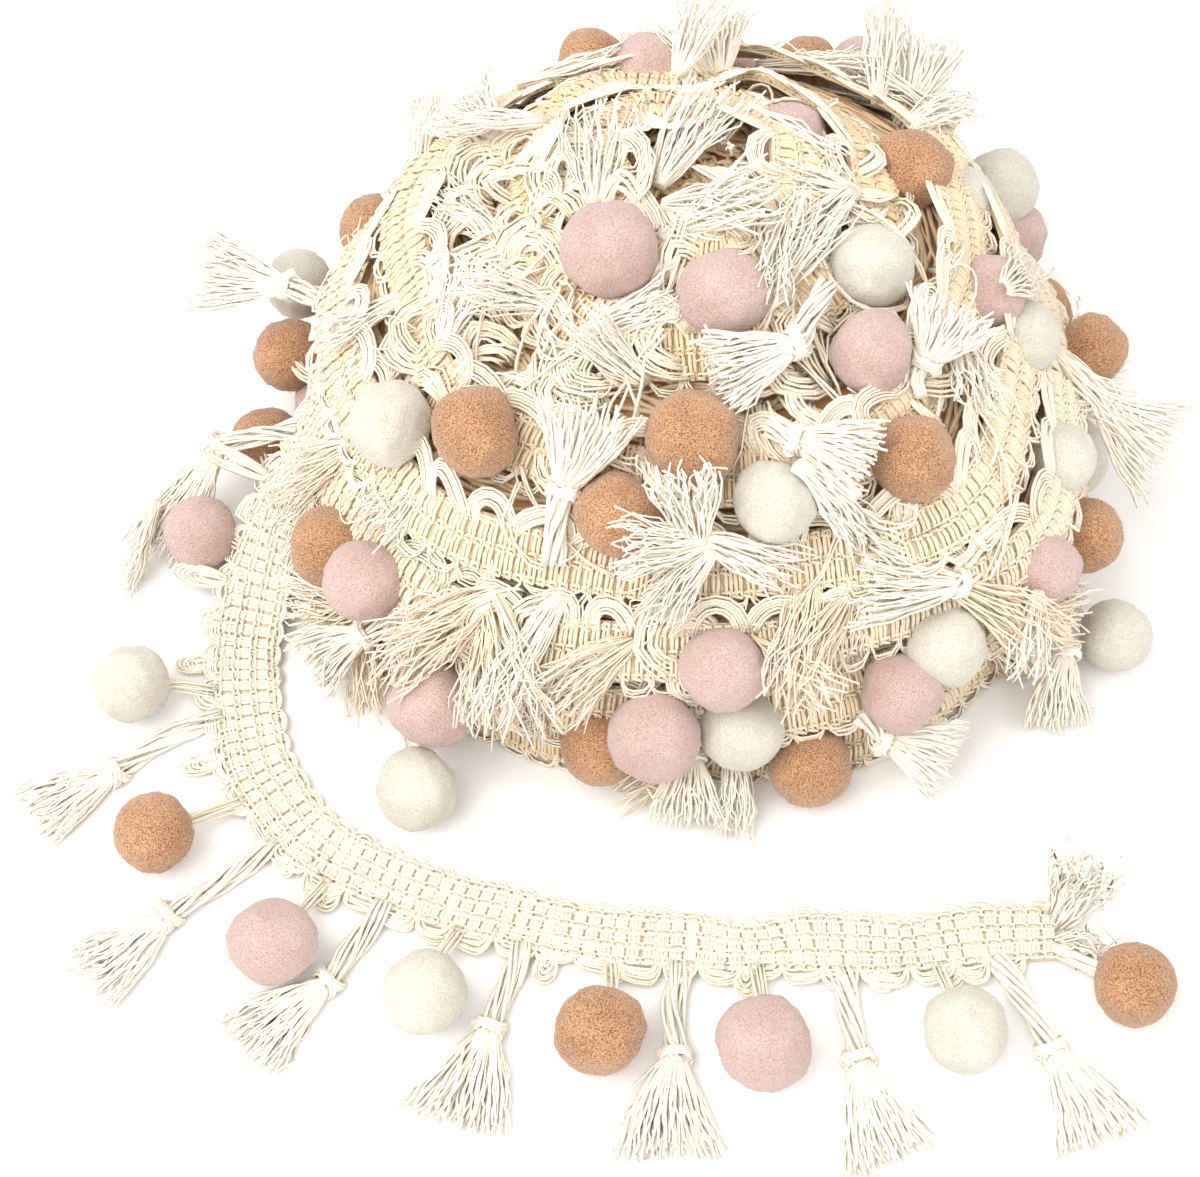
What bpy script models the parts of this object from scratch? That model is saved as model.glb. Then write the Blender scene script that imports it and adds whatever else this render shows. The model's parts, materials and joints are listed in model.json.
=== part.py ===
"""Pompom fringe trim: a length of crocheted cotton trim wound into a loose heap, with one end run out.

The trim is a narrow heading with a comb of yarn loops along its lower edge, from which felted
pompoms and knotted tassels hang in turn. Most of it is wound round and round into the heap.
Lengths in the tables are in millimetres; the scene is in metres.
"""

import math

import bmesh
import bpy
from mathutils import Vector
from mathutils.geometry import interpolate_bezier

MM = 0.001

# Driving sizes, in millimetres.
POMPOM_RADIUS = 10.0
POMPOM_CORNERS = 1.02  # a faceted ball's corners stand this far out, for the ball's own volume
HEADING_THICKNESS = 2.0
SCALLOP_PITCH = 6.6  # along the heading's upper edge
SCALLOP_DEPTH = 1.3
SCALLOP_STEPS = 3
LOOP_PITCH = 6.6  # along its lower edge
LOOP_REACH = 5.2
LOOP_TIP = (0.3, 0.7)  # where a loop's tip starts and ends, as shares of its foot
CORD_ROOM = 0.75  # share of the pitch kept free of loops on each side of a tassel's cord
EDGING_THICKNESS = 1.9
EDGE_BAR = 1.6  # the line of yarn that all the loops come from
GAP = 0.4  # between neighbouring pieces
POMPOM_SUNK = 0.5  # clearance of a pompom's bed in the heap
LEANING_LENGTH = 90.0  # how much of the loose end, from its start, leans on the heap
LEANING_STEPS = 18

COTTON = (0.89, 0.83, 0.70, 1.0)
SHADED_COTTON = (0.80, 0.69, 0.50, 1.0)
POMPOM_COLOURS = {
    "cream": (0.87, 0.84, 0.72, 1.0),
    "tan": (0.68, 0.34, 0.14, 1.0),
    "pink": (0.83, 0.55, 0.48, 1.0),
}
COTTON_ROUGHNESS = 0.9
FELT_ROUGHNESS = 1.0

# The loose end's centre line, from inside the heap to the cut end: place, width of the heading
# there, and how far its lower edge is turned down about that line, in degrees.
RUN_COLUMNS = ("x", "y", "z", "width", "roll")
RUN = (
    (-60, 34, 43, 14.0, 34),
    (-67, 25, 35, 15.0, 32),
    (-72, 18, 28, 15.5, 30),
    (-77, 12, 20, 16.0, 26),
    (-81, 3, 12, 17.0, 20),
    (-84, -7, 5, 16.0, 10),
    (-85.5, -17, 1.5, 14.5, 2),
    (-85, -28, 1, 14.5, 0),
    (-83, -40, 1, 15.0, 0),
    (-80, -51, 1, 15.0, 0),
    (-74, -61, 1, 14.5, 0),
    (-67, -70, 1, 14.5, 0),
    (-56, -77, 1, 13.5, 0),
    (-37, -85, 1, 13.5, 0),
    (-17, -91, 1, 13.0, 0),
    (0, -94.5, 1, 12.5, 0),
    (18, -96, 1, 12.5, 0),
    (33, -97.5, 1, 10.5, 0),
    (47, -96.5, 1, 14.0, 0),
    (61, -97, 1, 13.5, 0),
    (70, -97, 1, 11.5, 0),
    (86, -94.5, 1, 13.5, 0),
    (102, -94, 1, 12.0, 0),
)

# Pompoms of the loose end, in the order they hang.
LOOSE_POMPOM_COLUMNS = ("x", "y", "z", "size", "colour")
LOOSE_POMPOMS = (
    (-78, 56, 22, 0.96, "tan"),
    (-84, 38, 9.2, 0.92, "tan"),
    (-98, 10, 9.3, 0.93, "pink"),
    (-110, -34, 9.6, 0.93, "cream"),
    (-100.5, -73, 9.6, 0.94, "tan"),
    (-72, -100, 9.8, 1.0, "pink"),
    (-38, -112, 9.6, 0.96, "cream"),
    (0, -121, 9.8, 1.0, "tan"),
    (35, -124, 10.3, 1.05, "pink"),
    (78, -121, 9.9, 1.0, "cream"),
    (116, -110, 9.6, 0.96, "tan"),
)

# Pompoms that show on the heap, each lying in a bed among the wound turns.
HEAP_POMPOMS = (
    (-56, 77, 45, 0.96, "tan"),
    (-77, 77, 25, 0.92, "cream"),
    (-47, 0, 66, 0.98, "cream"),
    (-27, -9, 74, 1.02, "tan"),
    (-2, 108, 71, 0.95, "tan"),
    (12, 95, 80, 1.0, "pink"),
    (2, 25, 95, 1.12, "pink"),
    (27, 14, 93, 1.02, "pink"),
    (43, 62, 90, 1.0, "pink"),
    (84, 62, 70, 0.98, "cream"),
    (89, 34, 70, 0.98, "pink"),
    (60, 26, 88, 1.0, "cream"),
    (20, -15, 80, 1.06, "tan"),
    (37, -27, 73, 0.95, "cream"),
    (68, -15, 72, 1.0, "tan"),
    (119, 41, 42, 0.86, "tan"),
    (106, 5, 46, 0.9, "cream"),
    (115, -3, 26, 0.92, "tan"),
    (101, -19, 36, 0.94, "pink"),
    (123, -20, 9.0, 0.88, "cream"),
    (48, -56, 9.8, 1.0, "tan"),
    (12, -58, 26, 1.06, "pink"),
    (-38, -46, 22, 1.06, "pink"),
    (-42, -62, 9.8, 0.96, "cream"),
)

# Tassels: the cord's start, the knot and the fan's middle at its cut ends. The heights are of
# the underside, so that a tassel at height 0 lies on the surface.
TASSEL_COLUMNS = ("start", "knot", "end", "fan")
LOOSE_TASSELS = (
    ((-77, 30, 27), (-94, 30, 16), (-110, 9, 2), 8.0),
    ((-95.5, -38, 0), (-113, -53, 0), (-131, -65, 0), 9.5),
    ((-77, -73, 0), (-97, -90, 0), (-114, -104, 0), 10.0),
    ((-50, -92.5, 0), (-60, -106, 0), (-77, -122, 0), 10.0),
    ((-18, -101, 0), (-24, -117, 0), (-31, -139, 0), 13.0),
    ((18, -105, 0), (16.5, -123, 0), (16, -146, 0), 13.5),
    ((53, -106, 0), (56, -124, 0), (63, -147, 0), 11.0),
    ((88, -105, 0), (98, -122, 0), (107, -143, 0), 12.0),
)
HEAP_TASSELS = (
    ((-62, 50, 43), (-77, 61, 40), (-101, 70, 36), 12.0),
    ((-19, 61, 80), (-24, 70, 81), (-34, 81, 84), 11.0),
    ((29, 78, 82), (28, 86, 84), (25, 101, 90), 12.0),
    ((71, 80, 70), (74, 88, 74), (78, 103, 83), 12.5),
    ((50, 17, 91), (42, 1, 90), (24, -6, 88), 10.0),
    ((-10, -33, 56), (-8, -23, 70), (-3, -12, 84), 12.0),
    ((93, -22, 38), (80, -31, 46), (57, -36, 57), 12.0),
    ((69, -1, 74), (71, 4, 80), (77, 12, 90), 11.0),
    ((110, 26, 42), (119, 26, 38), (136, 18, 30), 14.0),
    ((21, -50, 24), (21, -55, 12), (20, -68, 3), 9.5),
    ((59, -49, 20), (65, -53, 15), (80, -57, 10), 10.5),
    ((108, -21, 20), (110, -26, 10), (109, -41, 1), 8.0),
    ((-47, -22, 22), (-55, -26, 17), (-68, -31, 9), 9.5),
    ((36, -13, 80), (42, -17, 80), (57, -24, 80), 11.0),
)

# A tassel's cross-sections: share of its length, half width and half thickness. The last two
# belong to the fan, whose half width at the cut ends is the tassel's own.
TASSEL_SECTION_COLUMNS = ("part", "share", "half_width", "half_thickness")
TASSEL_SECTIONS = (
    ("cord", 0.0, 2.7, 2.0),
    ("cord", 0.55, 2.3, 2.1),
    ("cord", 0.86, 2.2, 2.1),
    ("cord", 1.0, 3.7, 3.2),
    ("fan", 0.14, 3.4, 3.0),
    ("fan", 0.55, None, 2.9),
    ("fan", 1.0, None, 2.3),
)
TASSEL_SIDES = 6
TASSEL_FLATNESS = 1.2  # how much fuller than a true oval a tassel's cross-section is
FAN_ROOT = 3.0  # half width of a fan where it leaves the knot
# Which way the flat of a tassel on the heap faces: up and to the front.
TOWARDS_FRONT = Vector((0, -0.56, 0.83))

# The heap's wound turns from the surface upwards: height of the crest, middle and half sizes
# of the oval that it runs round, and how far the turn slopes down to the front left.
TURN_COLUMNS = ("height", "x", "y", "half_width", "half_depth", "slope")
TURNS = (
    (9, 24, 28, 89, 79, 0.0),
    (27, 24, 30, 90, 81, 2.0),
    (45, 22, 33, 87, 79, 3.5),
    (61, 20, 37, 79, 72, 4.0),
    (75, 20, 42, 64, 61, 3.5),
    (87, 21, 46, 42, 42, 2.0),
)
TURN_HALF_HEIGHT = 4.5  # of the rounded front of a turn
TURN_ROUNDING = 1.0  # how far its edges fall back behind its crest
TURN_GROOVE = 5.5  # how deep the groove between two turns is
HEAP_COLUMNS = 40  # points round each ring of the heap
# The ring that the heap rests on and the one on its top: middle, half sizes, height and slope.
HEAP_END_COLUMNS = ("x", "y", "half_width", "half_depth", "height", "slope", "waves")
HEAP_ENDS = (
    (24, 28, 84, 74, 0, 0.0, 0.5),
    (22, 47, 17, 18, 96, 1.0, 1.0),
)
OVAL_POWER = 2.3  # 2 is a true oval, and more is squarer
# Slow waves round a turn, for a loosely wound look. Each turn's waves start further round than
# those of the turn below, and a groove's lie between the two.
TURN_WAVE_COLUMNS = ("count", "height", "start")
TURN_WAVES = ((3, 1.6, 0.4), (5, 1.3, 1.9), (8, 0.9, 4.1))
TURN_WAVE_STEP = 1.3
GROOVE_WAVE_STEP = 0.6


def rows(columns, table):
    """Each row of a table as a dictionary of its named columns."""
    return [dict(zip(columns, row)) for row in table]


def clear_scene():
    for obj in list(bpy.data.objects):
        bpy.data.objects.remove(obj, do_unlink=True)


def material(name, colour, roughness):
    made = bpy.data.materials.get(name)
    if made is None:
        made = bpy.data.materials.new(name)
        made.use_nodes = True
        shader = made.node_tree.nodes["Principled BSDF"]
        shader.inputs["Base Color"].default_value = colour
        shader.inputs["Roughness"].default_value = roughness
        shader.inputs["Metallic"].default_value = 0.0
        made.diffuse_color = colour
    return made


def new_object(name, bm, finish, cutter=False):
    bmesh.ops.recalc_face_normals(bm, faces=bm.faces[:])
    mesh = bpy.data.meshes.new(name)
    bm.to_mesh(mesh)
    bm.free()
    mesh.materials.append(finish)
    mesh.shade_smooth()
    obj = bpy.data.objects.new(name, mesh)
    bpy.context.scene.collection.objects.link(obj)
    if cutter:
        obj.hide_render = True
        obj.display_type = "WIRE"
    return obj


def metres(*values):
    return Vector(values) * MM


def lofted(name, rings, finish, cutter=False):
    """One closed body through rings of equally many points, with a flat cap at each end."""
    bm = bmesh.new()
    made = [[bm.verts.new(point) for point in ring] for ring in rings]
    sides = len(made[0])
    for low, high in zip(made, made[1:]):
        for i in range(sides):
            j = (i + 1) % sides
            bm.faces.new((low[i], low[j], high[j], high[i]))
    bm.faces.new(list(reversed(made[0])))
    bm.faces.new(made[-1])
    return new_object(name, bm, finish, cutter)


def smooth_run(points, steps):
    """A smooth curve through points: a Bezier piece between each two, cut into equal steps."""
    curve = []
    for i in range(len(points) - 1):
        before = points[max(i - 1, 0)]
        start, end = points[i], points[i + 1]
        after = points[min(i + 2, len(points) - 1)]
        handle_out = start + (end - before) / 6
        handle_in = end - (after - start) / 6
        piece = interpolate_bezier(start, handle_out, handle_in, end, steps + 1)
        curve.extend(piece if i == 0 else piece[1:])
    return curve


class Run:
    """The loose end's centre line, measured by the distance along it."""

    FINE_STEPS = 12

    def __init__(self, table):
        places = [Vector((row["x"], row["y"], row["z"])) for row in table]
        self.points = smooth_run(places, self.FINE_STEPS)
        self.extra = [
            (
                self.between(table, i, "width"),
                self.between(table, i, "roll"),
            )
            for i in range(len(self.points))
        ]
        self.distance = [0.0]
        for a, b in zip(self.points, self.points[1:]):
            self.distance.append(self.distance[-1] + (b - a).length)
        self.length = self.distance[-1]

    def between(self, table, i, column):
        row, step = divmod(i, self.FINE_STEPS)
        following = min(row + 1, len(table) - 1)
        share = step / self.FINE_STEPS
        share = share * share * (3 - 2 * share)
        return table[row][column] * (1 - share) + table[following][column] * share

    def at(self, s):
        """Centre, unit vector across to the lower edge, unit normal, and width at distance s."""
        s = min(max(s, 0.0), self.length)
        i = max(k for k, d in enumerate(self.distance[:-1]) if d <= s)
        share = (s - self.distance[i]) / (self.distance[i + 1] - self.distance[i])
        centre = self.points[i].lerp(self.points[i + 1], share)
        before = self.points[max(i - 2, 0)]
        after = self.points[min(i + 3, len(self.points) - 1)]
        along = (after - before).normalized()
        width, roll = (a + (b - a) * share for a, b in zip(self.extra[i], self.extra[i + 1]))
        level = along.cross(Vector((0, 0, 1))).normalized()
        upright = level.cross(along).normalized()
        turn = math.radians(roll)
        across = level * math.cos(turn) - upright * math.sin(turn)
        normal = along.cross(across).normalized() * -1
        if normal.z < 0:
            normal = -normal
        centre = centre.copy()
        lowest = HEADING_THICKNESS / 2 * abs(normal.z) + (width / 2 + LOOP_REACH) * abs(across.z)
        centre.z = max(centre.z, lowest if roll else HEADING_THICKNESS / 2)
        return centre, across, normal, width

    def place(self, s, v):
        """A point of the cloth's middle surface, v from the centre line to the lower edge."""
        centre, across, _, _ = self.at(s)
        return centre + across * v


def thickened(obj, thickness):
    solid = obj.modifiers.new("thickness", "SOLIDIFY")
    solid.thickness = thickness * MM
    solid.offset = 0.0
    solid.use_even_offset = True


def strip(name, lines, finish):
    """A sheet through equally long lines of points, in millimetres, given its thickness."""
    bm = bmesh.new()
    made = [[bm.verts.new(point * MM) for point in line] for line in lines]
    for first, second in zip(made, made[1:]):
        for i in range(len(first) - 1):
            bm.faces.new((first[i], first[i + 1], second[i + 1], second[i]))
    obj = new_object(name, bm, finish)
    thickened(obj, HEADING_THICKNESS)
    return obj


def build_heading(run):
    """The heading: plain along its lower edge, scalloped along its upper one."""
    steps = SCALLOP_STEPS * round(run.length / SCALLOP_PITCH)
    lines = []
    for k in range(steps + 1):
        s = run.length * k / steps
        width = run.at(s)[3]
        wave = SCALLOP_DEPTH * abs(math.sin(math.pi * k / SCALLOP_STEPS))
        lines.append([run.place(s, -width / 2 - wave), run.place(s, 0), run.place(s, width / 2)])
    return strip("loose_heading", lines, material("cotton", COTTON, COTTON_ROUGHNESS))


def build_loop_edging(run, hangers):
    """One comb of loops along the lower edge, with none where a hanger's cord comes off."""
    bm = bmesh.new()
    count = round(run.length / (LOOP_PITCH / 2))
    inner, outer = [], []
    for k in range(count + 1):
        s = run.length * k / count
        edge = run.at(s)[3] / 2 + GAP
        inner.append(bm.verts.new(run.place(s, edge) * MM))
        outer.append(bm.verts.new(run.place(s, edge + EDGE_BAR) * MM))
    for k in range(count):
        bm.faces.new((inner[k], inner[k + 1], outer[k + 1], outer[k]))
        near = min((s_of_place(run, h) - run.length * (k + 0.5) / count for h in hangers), key=abs)
        if k % 2 or abs(near) < LOOP_PITCH * CORD_ROOM:
            continue
        tips = []
        for share in LOOP_TIP:
            s = run.length * (k + share) / count
            tips.append(bm.verts.new(run.place(s, run.at(s)[3] / 2 + LOOP_REACH) * MM))
        bm.faces.new((outer[k], outer[k + 1], tips[1], tips[0]))
    obj = new_object("loop_edging", bm, material("cotton", COTTON, COTTON_ROUGHNESS))
    thickened(obj, EDGING_THICKNESS)
    return obj


def s_of_place(run, place):
    """How far along the run the nearest point to a place lies."""
    nearest = min(range(len(run.points)), key=lambda i: (run.points[i] - place).length)
    return run.distance[nearest]


def build_pompom(name, row, grow=0.0):
    """A felted ball, slightly flat where it lies on the surface."""
    bm = bmesh.new()
    radius = (POMPOM_RADIUS * row["size"] + grow) * MM
    bmesh.ops.create_icosphere(bm, subdivisions=2, radius=radius * POMPOM_CORNERS)
    centre = metres(row["x"], row["y"], row["z"])
    for vert in bm.verts:
        vert.co += centre
        if not grow:
            vert.co.z = max(vert.co.z, 0.0)
    felt = material("felt_" + row["colour"], POMPOM_COLOURS[row["colour"]], FELT_ROUGHNESS)
    return new_object(name, bm, felt, cutter=grow > 0)


def build_tassel(name, row, grow=0.0):
    """Cord, overhand knot and fan of cut strands, as one body through its cross-sections."""
    start, knot, end = (Vector(row[key]) for key in ("start", "knot", "end"))
    lies_flat = max(start.z, knot.z, end.z) < GAP
    facing = Vector((0, 0, 1)) if lies_flat else TOWARDS_FRONT
    rings = []
    for section in rows(TASSEL_SECTION_COLUMNS, TASSEL_SECTIONS):
        on_cord = section["part"] == "cord"
        first, last = (start, knot) if on_cord else (knot, end)
        share = section["share"]
        reach = (-grow if share == 0 else grow if not on_cord and share == 1 else 0.0)
        along = (last - first).normalized()
        side = along.cross(facing).normalized()
        up = side.cross(along).normalized()
        half_width = section["half_width"]
        if half_width is None:
            half_width = FAN_ROOT + (row["fan"] - FAN_ROOT) * share
        half_width += grow
        half_thickness = section["half_thickness"] + grow
        centre = first.lerp(last, share) + along * reach
        centre += Vector((0, 0, section["half_thickness"]))
        ring = []
        for i in range(TASSEL_SIDES):
            angle = 2 * math.pi * (i + 0.5) / TASSEL_SIDES
            across = side * math.cos(angle) * half_width / math.cos(math.pi / TASSEL_SIDES)
            raised = up * max(-1.0, min(1.0, math.sin(angle) * TASSEL_FLATNESS)) * half_thickness
            ring.append((centre + across + raised) * MM)
        rings.append(ring)
    return lofted(name, rings, material("cotton", COTTON, COTTON_ROUGHNESS), cutter=grow > 0)


def oval(shape, height, lean=0.0, wave_start=0.0):
    """A ring of the heap: a squarish oval with slow waves, sloping a little to the front left."""
    ring = []
    half_width, half_depth = shape["half_width"] - lean, shape["half_depth"] - lean
    for i in range(HEAP_COLUMNS):
        angle = 2 * math.pi * i / HEAP_COLUMNS
        c, s = math.cos(angle), math.sin(angle)
        reach = (abs(c) ** OVAL_POWER + abs(s) ** OVAL_POWER) ** (-1 / OVAL_POWER)
        bump = 0.0
        for wave in rows(TURN_WAVE_COLUMNS, TURN_WAVES):
            bump += wave["height"] * math.sin(wave["count"] * angle + wave["start"] + wave_start)
        bump *= shape.get("waves", 1.0)
        ring.append(
            metres(
                shape["x"] + (half_width * reach + bump) * c,
                shape["y"] + (half_depth * reach + bump) * s,
                height + shape["slope"] * (c + s),
            )
        )
    return ring


def turn_rings(turn, wave_start):
    """The lower and the upper edge of one turn's rounded front."""
    for side in (-1, 1):
        lean = TURN_ROUNDING * (1 + side)
        yield oval(turn, turn["height"] + side * TURN_HALF_HEIGHT, lean, wave_start)


def groove_ring(below, above, wave_start):
    """The groove where one turn lies on the next."""
    mean = {key: (below[key] + above[key]) / 2 for key in TURN_COLUMNS}
    return oval(mean, mean["height"], TURN_GROOVE, wave_start)


def build_heap():
    """The wound heap: one body whose turns stand out as sloping rolls with grooves between."""
    turns = rows(TURN_COLUMNS, TURNS)
    foot, top = rows(HEAP_END_COLUMNS, HEAP_ENDS)
    rings = [oval(foot, foot["height"])]
    for number, turn in enumerate(turns):
        wave_start = number * TURN_WAVE_STEP
        rings.extend(turn_rings(turn, wave_start))
        if turn is not turns[-1]:
            above = turns[number + 1]
            rings.append(groove_ring(turn, above, wave_start + GROOVE_WAVE_STEP))
    rings.append(oval(top, top["height"]))
    return lofted("wound_heap", rings, material("wound_cotton", SHADED_COTTON, COTTON_ROUGHNESS))


def box_of(obj):
    corners = [obj.matrix_world @ Vector(c) for c in obj.bound_box]
    low = Vector([min(c[k] for c in corners) for k in range(3)])
    high = Vector([max(c[k] for c in corners) for k in range(3)])
    return low, high


def boxes_meet(first, second):
    low_a, high_a = box_of(first)
    low_b, high_b = box_of(second)
    return all(low_a[k] < high_b[k] and low_b[k] < high_a[k] for k in range(3))


def cut_by(obj, cutters):
    """Takes the room of each cutter that reaches this piece out of it."""
    for cutter in cutters:
        if boxes_meet(obj, cutter):
            cut = obj.modifiers.new(cutter.name, "BOOLEAN")
            cut.operation = "DIFFERENCE"
            cut.solver = "EXACT"
            cut.object = cutter


def build_run_cutter(run):
    """Room for the stretch of the loose end that leans on the heap."""
    rings = []
    for k in range(LEANING_STEPS + 1):
        centre, across, normal, width = run.at(LEANING_LENGTH * k / LEANING_STEPS)
        half = width / 2 + SCALLOP_DEPTH + GAP
        far = width / 2 + LOOP_REACH + GAP
        thick = HEADING_THICKNESS / 2 + GAP
        if k == 0:
            centre = centre - (run.points[1] - run.points[0]).normalized() * GAP
        corners = ((-half, -thick), (far, -thick), (far, thick), (-half, thick))
        rings.append([(centre + across * v + normal * n) * MM for v, n in corners])
    return lofted("room_for_run", rings, material("cotton", COTTON, COTTON_ROUGHNESS), cutter=True)


def stand_on_origin(pieces):
    """Moves every piece so that the origin is under the middle of them all."""
    low = Vector([min(box_of(p)[0][k] for p in pieces) for k in range(3)])
    high = Vector([max(box_of(p)[1][k] for p in pieces) for k in range(3)])
    middle = (low + high) / 2
    for obj in bpy.data.objects:
        obj.location -= Vector((middle.x, middle.y, 0))


def main():
    clear_scene()
    bpy.context.scene.unit_settings.system = "METRIC"
    run = Run(rows(RUN_COLUMNS, RUN))
    heap = build_heap()
    pieces = [heap, build_heading(run)]
    rooms, beds = [build_run_cutter(run)], []
    tables = (("loose_pompom", LOOSE_POMPOMS), ("heap_pompom", HEAP_POMPOMS))
    for prefix, table in tables:
        for number, row in enumerate(rows(LOOSE_POMPOM_COLUMNS, table), 1):
            name = f"{prefix}_{number:02d}"
            pieces.append(build_pompom(name, row))
            beds.append(build_pompom("bed_" + name, row, grow=POMPOM_SUNK))
    hangers = [Vector(row["start"]) for row in rows(TASSEL_COLUMNS, LOOSE_TASSELS)]
    tables = (("loose_tassel", LOOSE_TASSELS), ("heap_tassel", HEAP_TASSELS))
    tassels = []
    for prefix, table in tables:
        for number, row in enumerate(rows(TASSEL_COLUMNS, table), 1):
            name = f"{prefix}_{number:02d}"
            tassel = build_tassel(name, row)
            cut_by(tassel, beds)
            tassels.append(tassel)
            rooms.append(build_tassel("room_" + name, row, grow=GAP))
    edging = build_loop_edging(run, hangers)
    cut_by(edging, beds)
    cut_by(heap, rooms + beds)
    pieces += tassels + [edging]
    stand_on_origin(pieces)


main()
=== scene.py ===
# %% [markdown]
# # Pompom fringe trim
# A length of crocheted cotton trim: a narrow heading, a row of yarn loops along its lower edge,
# and felted pompoms and knotted tassels hanging in turn from it. Most of it is wound into a loose
# heap and one end is run out flat.
#
# Everything here is yarn, and yarn is a line with a thickness. So the whole trim is built as
# lines through points, and one helper turns thousands of such lines into tubes at once.

# %% Frame and tools
import json
import math

import bpy
import numpy as np
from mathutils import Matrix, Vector

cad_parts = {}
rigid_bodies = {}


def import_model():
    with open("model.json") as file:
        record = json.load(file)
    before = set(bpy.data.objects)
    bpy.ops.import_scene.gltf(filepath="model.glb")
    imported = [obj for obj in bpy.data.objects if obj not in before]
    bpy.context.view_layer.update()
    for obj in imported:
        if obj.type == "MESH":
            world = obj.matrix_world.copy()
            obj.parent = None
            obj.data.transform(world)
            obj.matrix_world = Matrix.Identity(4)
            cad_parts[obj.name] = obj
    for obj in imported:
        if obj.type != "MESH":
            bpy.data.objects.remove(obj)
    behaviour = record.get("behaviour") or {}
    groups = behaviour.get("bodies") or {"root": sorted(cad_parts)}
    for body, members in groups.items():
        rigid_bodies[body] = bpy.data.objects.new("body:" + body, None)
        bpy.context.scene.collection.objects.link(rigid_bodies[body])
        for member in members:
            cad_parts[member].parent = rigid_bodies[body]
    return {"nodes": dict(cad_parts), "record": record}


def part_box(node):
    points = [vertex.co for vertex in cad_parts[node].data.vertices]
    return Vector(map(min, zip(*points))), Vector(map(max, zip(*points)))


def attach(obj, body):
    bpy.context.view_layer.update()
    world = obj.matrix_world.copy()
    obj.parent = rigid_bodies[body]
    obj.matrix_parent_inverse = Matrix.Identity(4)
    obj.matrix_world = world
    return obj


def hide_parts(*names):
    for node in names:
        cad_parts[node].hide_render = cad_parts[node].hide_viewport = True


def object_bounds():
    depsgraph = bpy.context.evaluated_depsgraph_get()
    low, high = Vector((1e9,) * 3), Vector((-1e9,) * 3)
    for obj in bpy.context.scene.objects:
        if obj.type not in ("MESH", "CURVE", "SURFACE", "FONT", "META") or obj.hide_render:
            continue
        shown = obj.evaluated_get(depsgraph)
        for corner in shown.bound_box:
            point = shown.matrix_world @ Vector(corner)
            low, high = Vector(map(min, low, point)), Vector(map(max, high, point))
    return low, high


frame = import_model()
CAD_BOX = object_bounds()
MM = 0.001
BODY = "root"
chance = np.random.default_rng(20)  # one seeded source of unevenness, the same every run
print("CAD nodes:", len(frame["nodes"]))

# %% [markdown]
# ## Camera
# The trim lies on a table and is looked down on from the front, at 56 degrees above the surface,
# with a longish lens, so that the far side of the heap stays nearly as large as the near one.

# %% Camera
LOOK_AT = (-0.00375, 0.01626, 0.0)
CAMERA_ELEVATION = math.radians(56)
CAMERA_DISTANCE = 0.575


def add_camera():
    lens = bpy.data.cameras.new("camera")
    lens.lens = 70
    lens.sensor_width = 36
    lens.clip_start = 0.01
    camera = bpy.data.objects.new("camera", lens)
    back = CAMERA_DISTANCE * math.cos(CAMERA_ELEVATION)
    rise = CAMERA_DISTANCE * math.sin(CAMERA_ELEVATION)
    camera.location = (LOOK_AT[0], LOOK_AT[1] - back, LOOK_AT[2] + rise)
    camera.rotation_euler = (math.pi / 2 - CAMERA_ELEVATION, 0, 0)
    bpy.context.scene.collection.objects.link(camera)
    bpy.context.scene.camera = camera
    print("camera at", tuple(round(c, 3) for c in camera.location))


add_camera()

# %% [markdown]
# ## Light and floor
# Cream cotton only looks soft under broad light. One large lamp above the front left gives the
# strands a lit and a shaded side, a weaker one from the right opens the shadows, and a bright
# sky fills the rest. The floor is plain and pale.

# %% Light and floor
LAMPS = (  # name, place and size in m, power in W, colour
    ("key_lamp", (-0.55, -0.35, 1.0), 1.0, 12.0, (1.0, 0.98, 0.95)),
    ("fill_lamp", (0.8, -0.5, 0.7), 0.9, 3.0, (1.0, 1.0, 1.0)),
)
SKY_COLOUR = (1.0, 0.98, 0.95, 1.0)
SKY_STRENGTH = 1.0
FLOOR_COLOUR = (0.93, 0.93, 0.93, 1.0)


def add_lamp(name, place, size, power, colour):
    light = bpy.data.lights.new(name, "AREA")
    light.size = size
    light.energy = power
    light.color = colour
    lamp = bpy.data.objects.new(name, light)
    lamp.location = place
    towards = Vector((0.0, 0.02, 0.03)) - Vector(place)
    lamp.rotation_euler = towards.to_track_quat("-Z", "Y").to_euler()
    bpy.context.scene.collection.objects.link(lamp)


def add_sky():
    sky = bpy.data.worlds.new("sky")
    sky.use_nodes = True
    background = sky.node_tree.nodes["Background"]
    background.inputs["Color"].default_value = SKY_COLOUR
    background.inputs["Strength"].default_value = SKY_STRENGTH
    bpy.context.scene.world = sky
    bpy.context.scene.view_settings.view_transform = "Standard"


def add_floor():
    mesh = bpy.data.meshes.new("floor")
    reach = 3.0
    corners = [(-reach, -reach, 0), (reach, -reach, 0), (reach, reach, 0), (-reach, reach, 0)]
    mesh.from_pydata(corners, [], [(0, 1, 2, 3)])
    floor = bpy.data.objects.new("floor", mesh)
    floor.location.z = -0.0002
    bpy.context.scene.collection.objects.link(floor)
    paint = bpy.data.materials.new("floor_paint")
    paint.use_nodes = True
    shader = paint.node_tree.nodes["Principled BSDF"]
    shader.inputs["Base Color"].default_value = FLOOR_COLOUR
    shader.inputs["Roughness"].default_value = 0.9
    mesh.materials.append(paint)


for lamp_row in LAMPS:
    add_lamp(*lamp_row)
add_sky()
add_floor()
print("lamps:", len(LAMPS))

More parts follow.
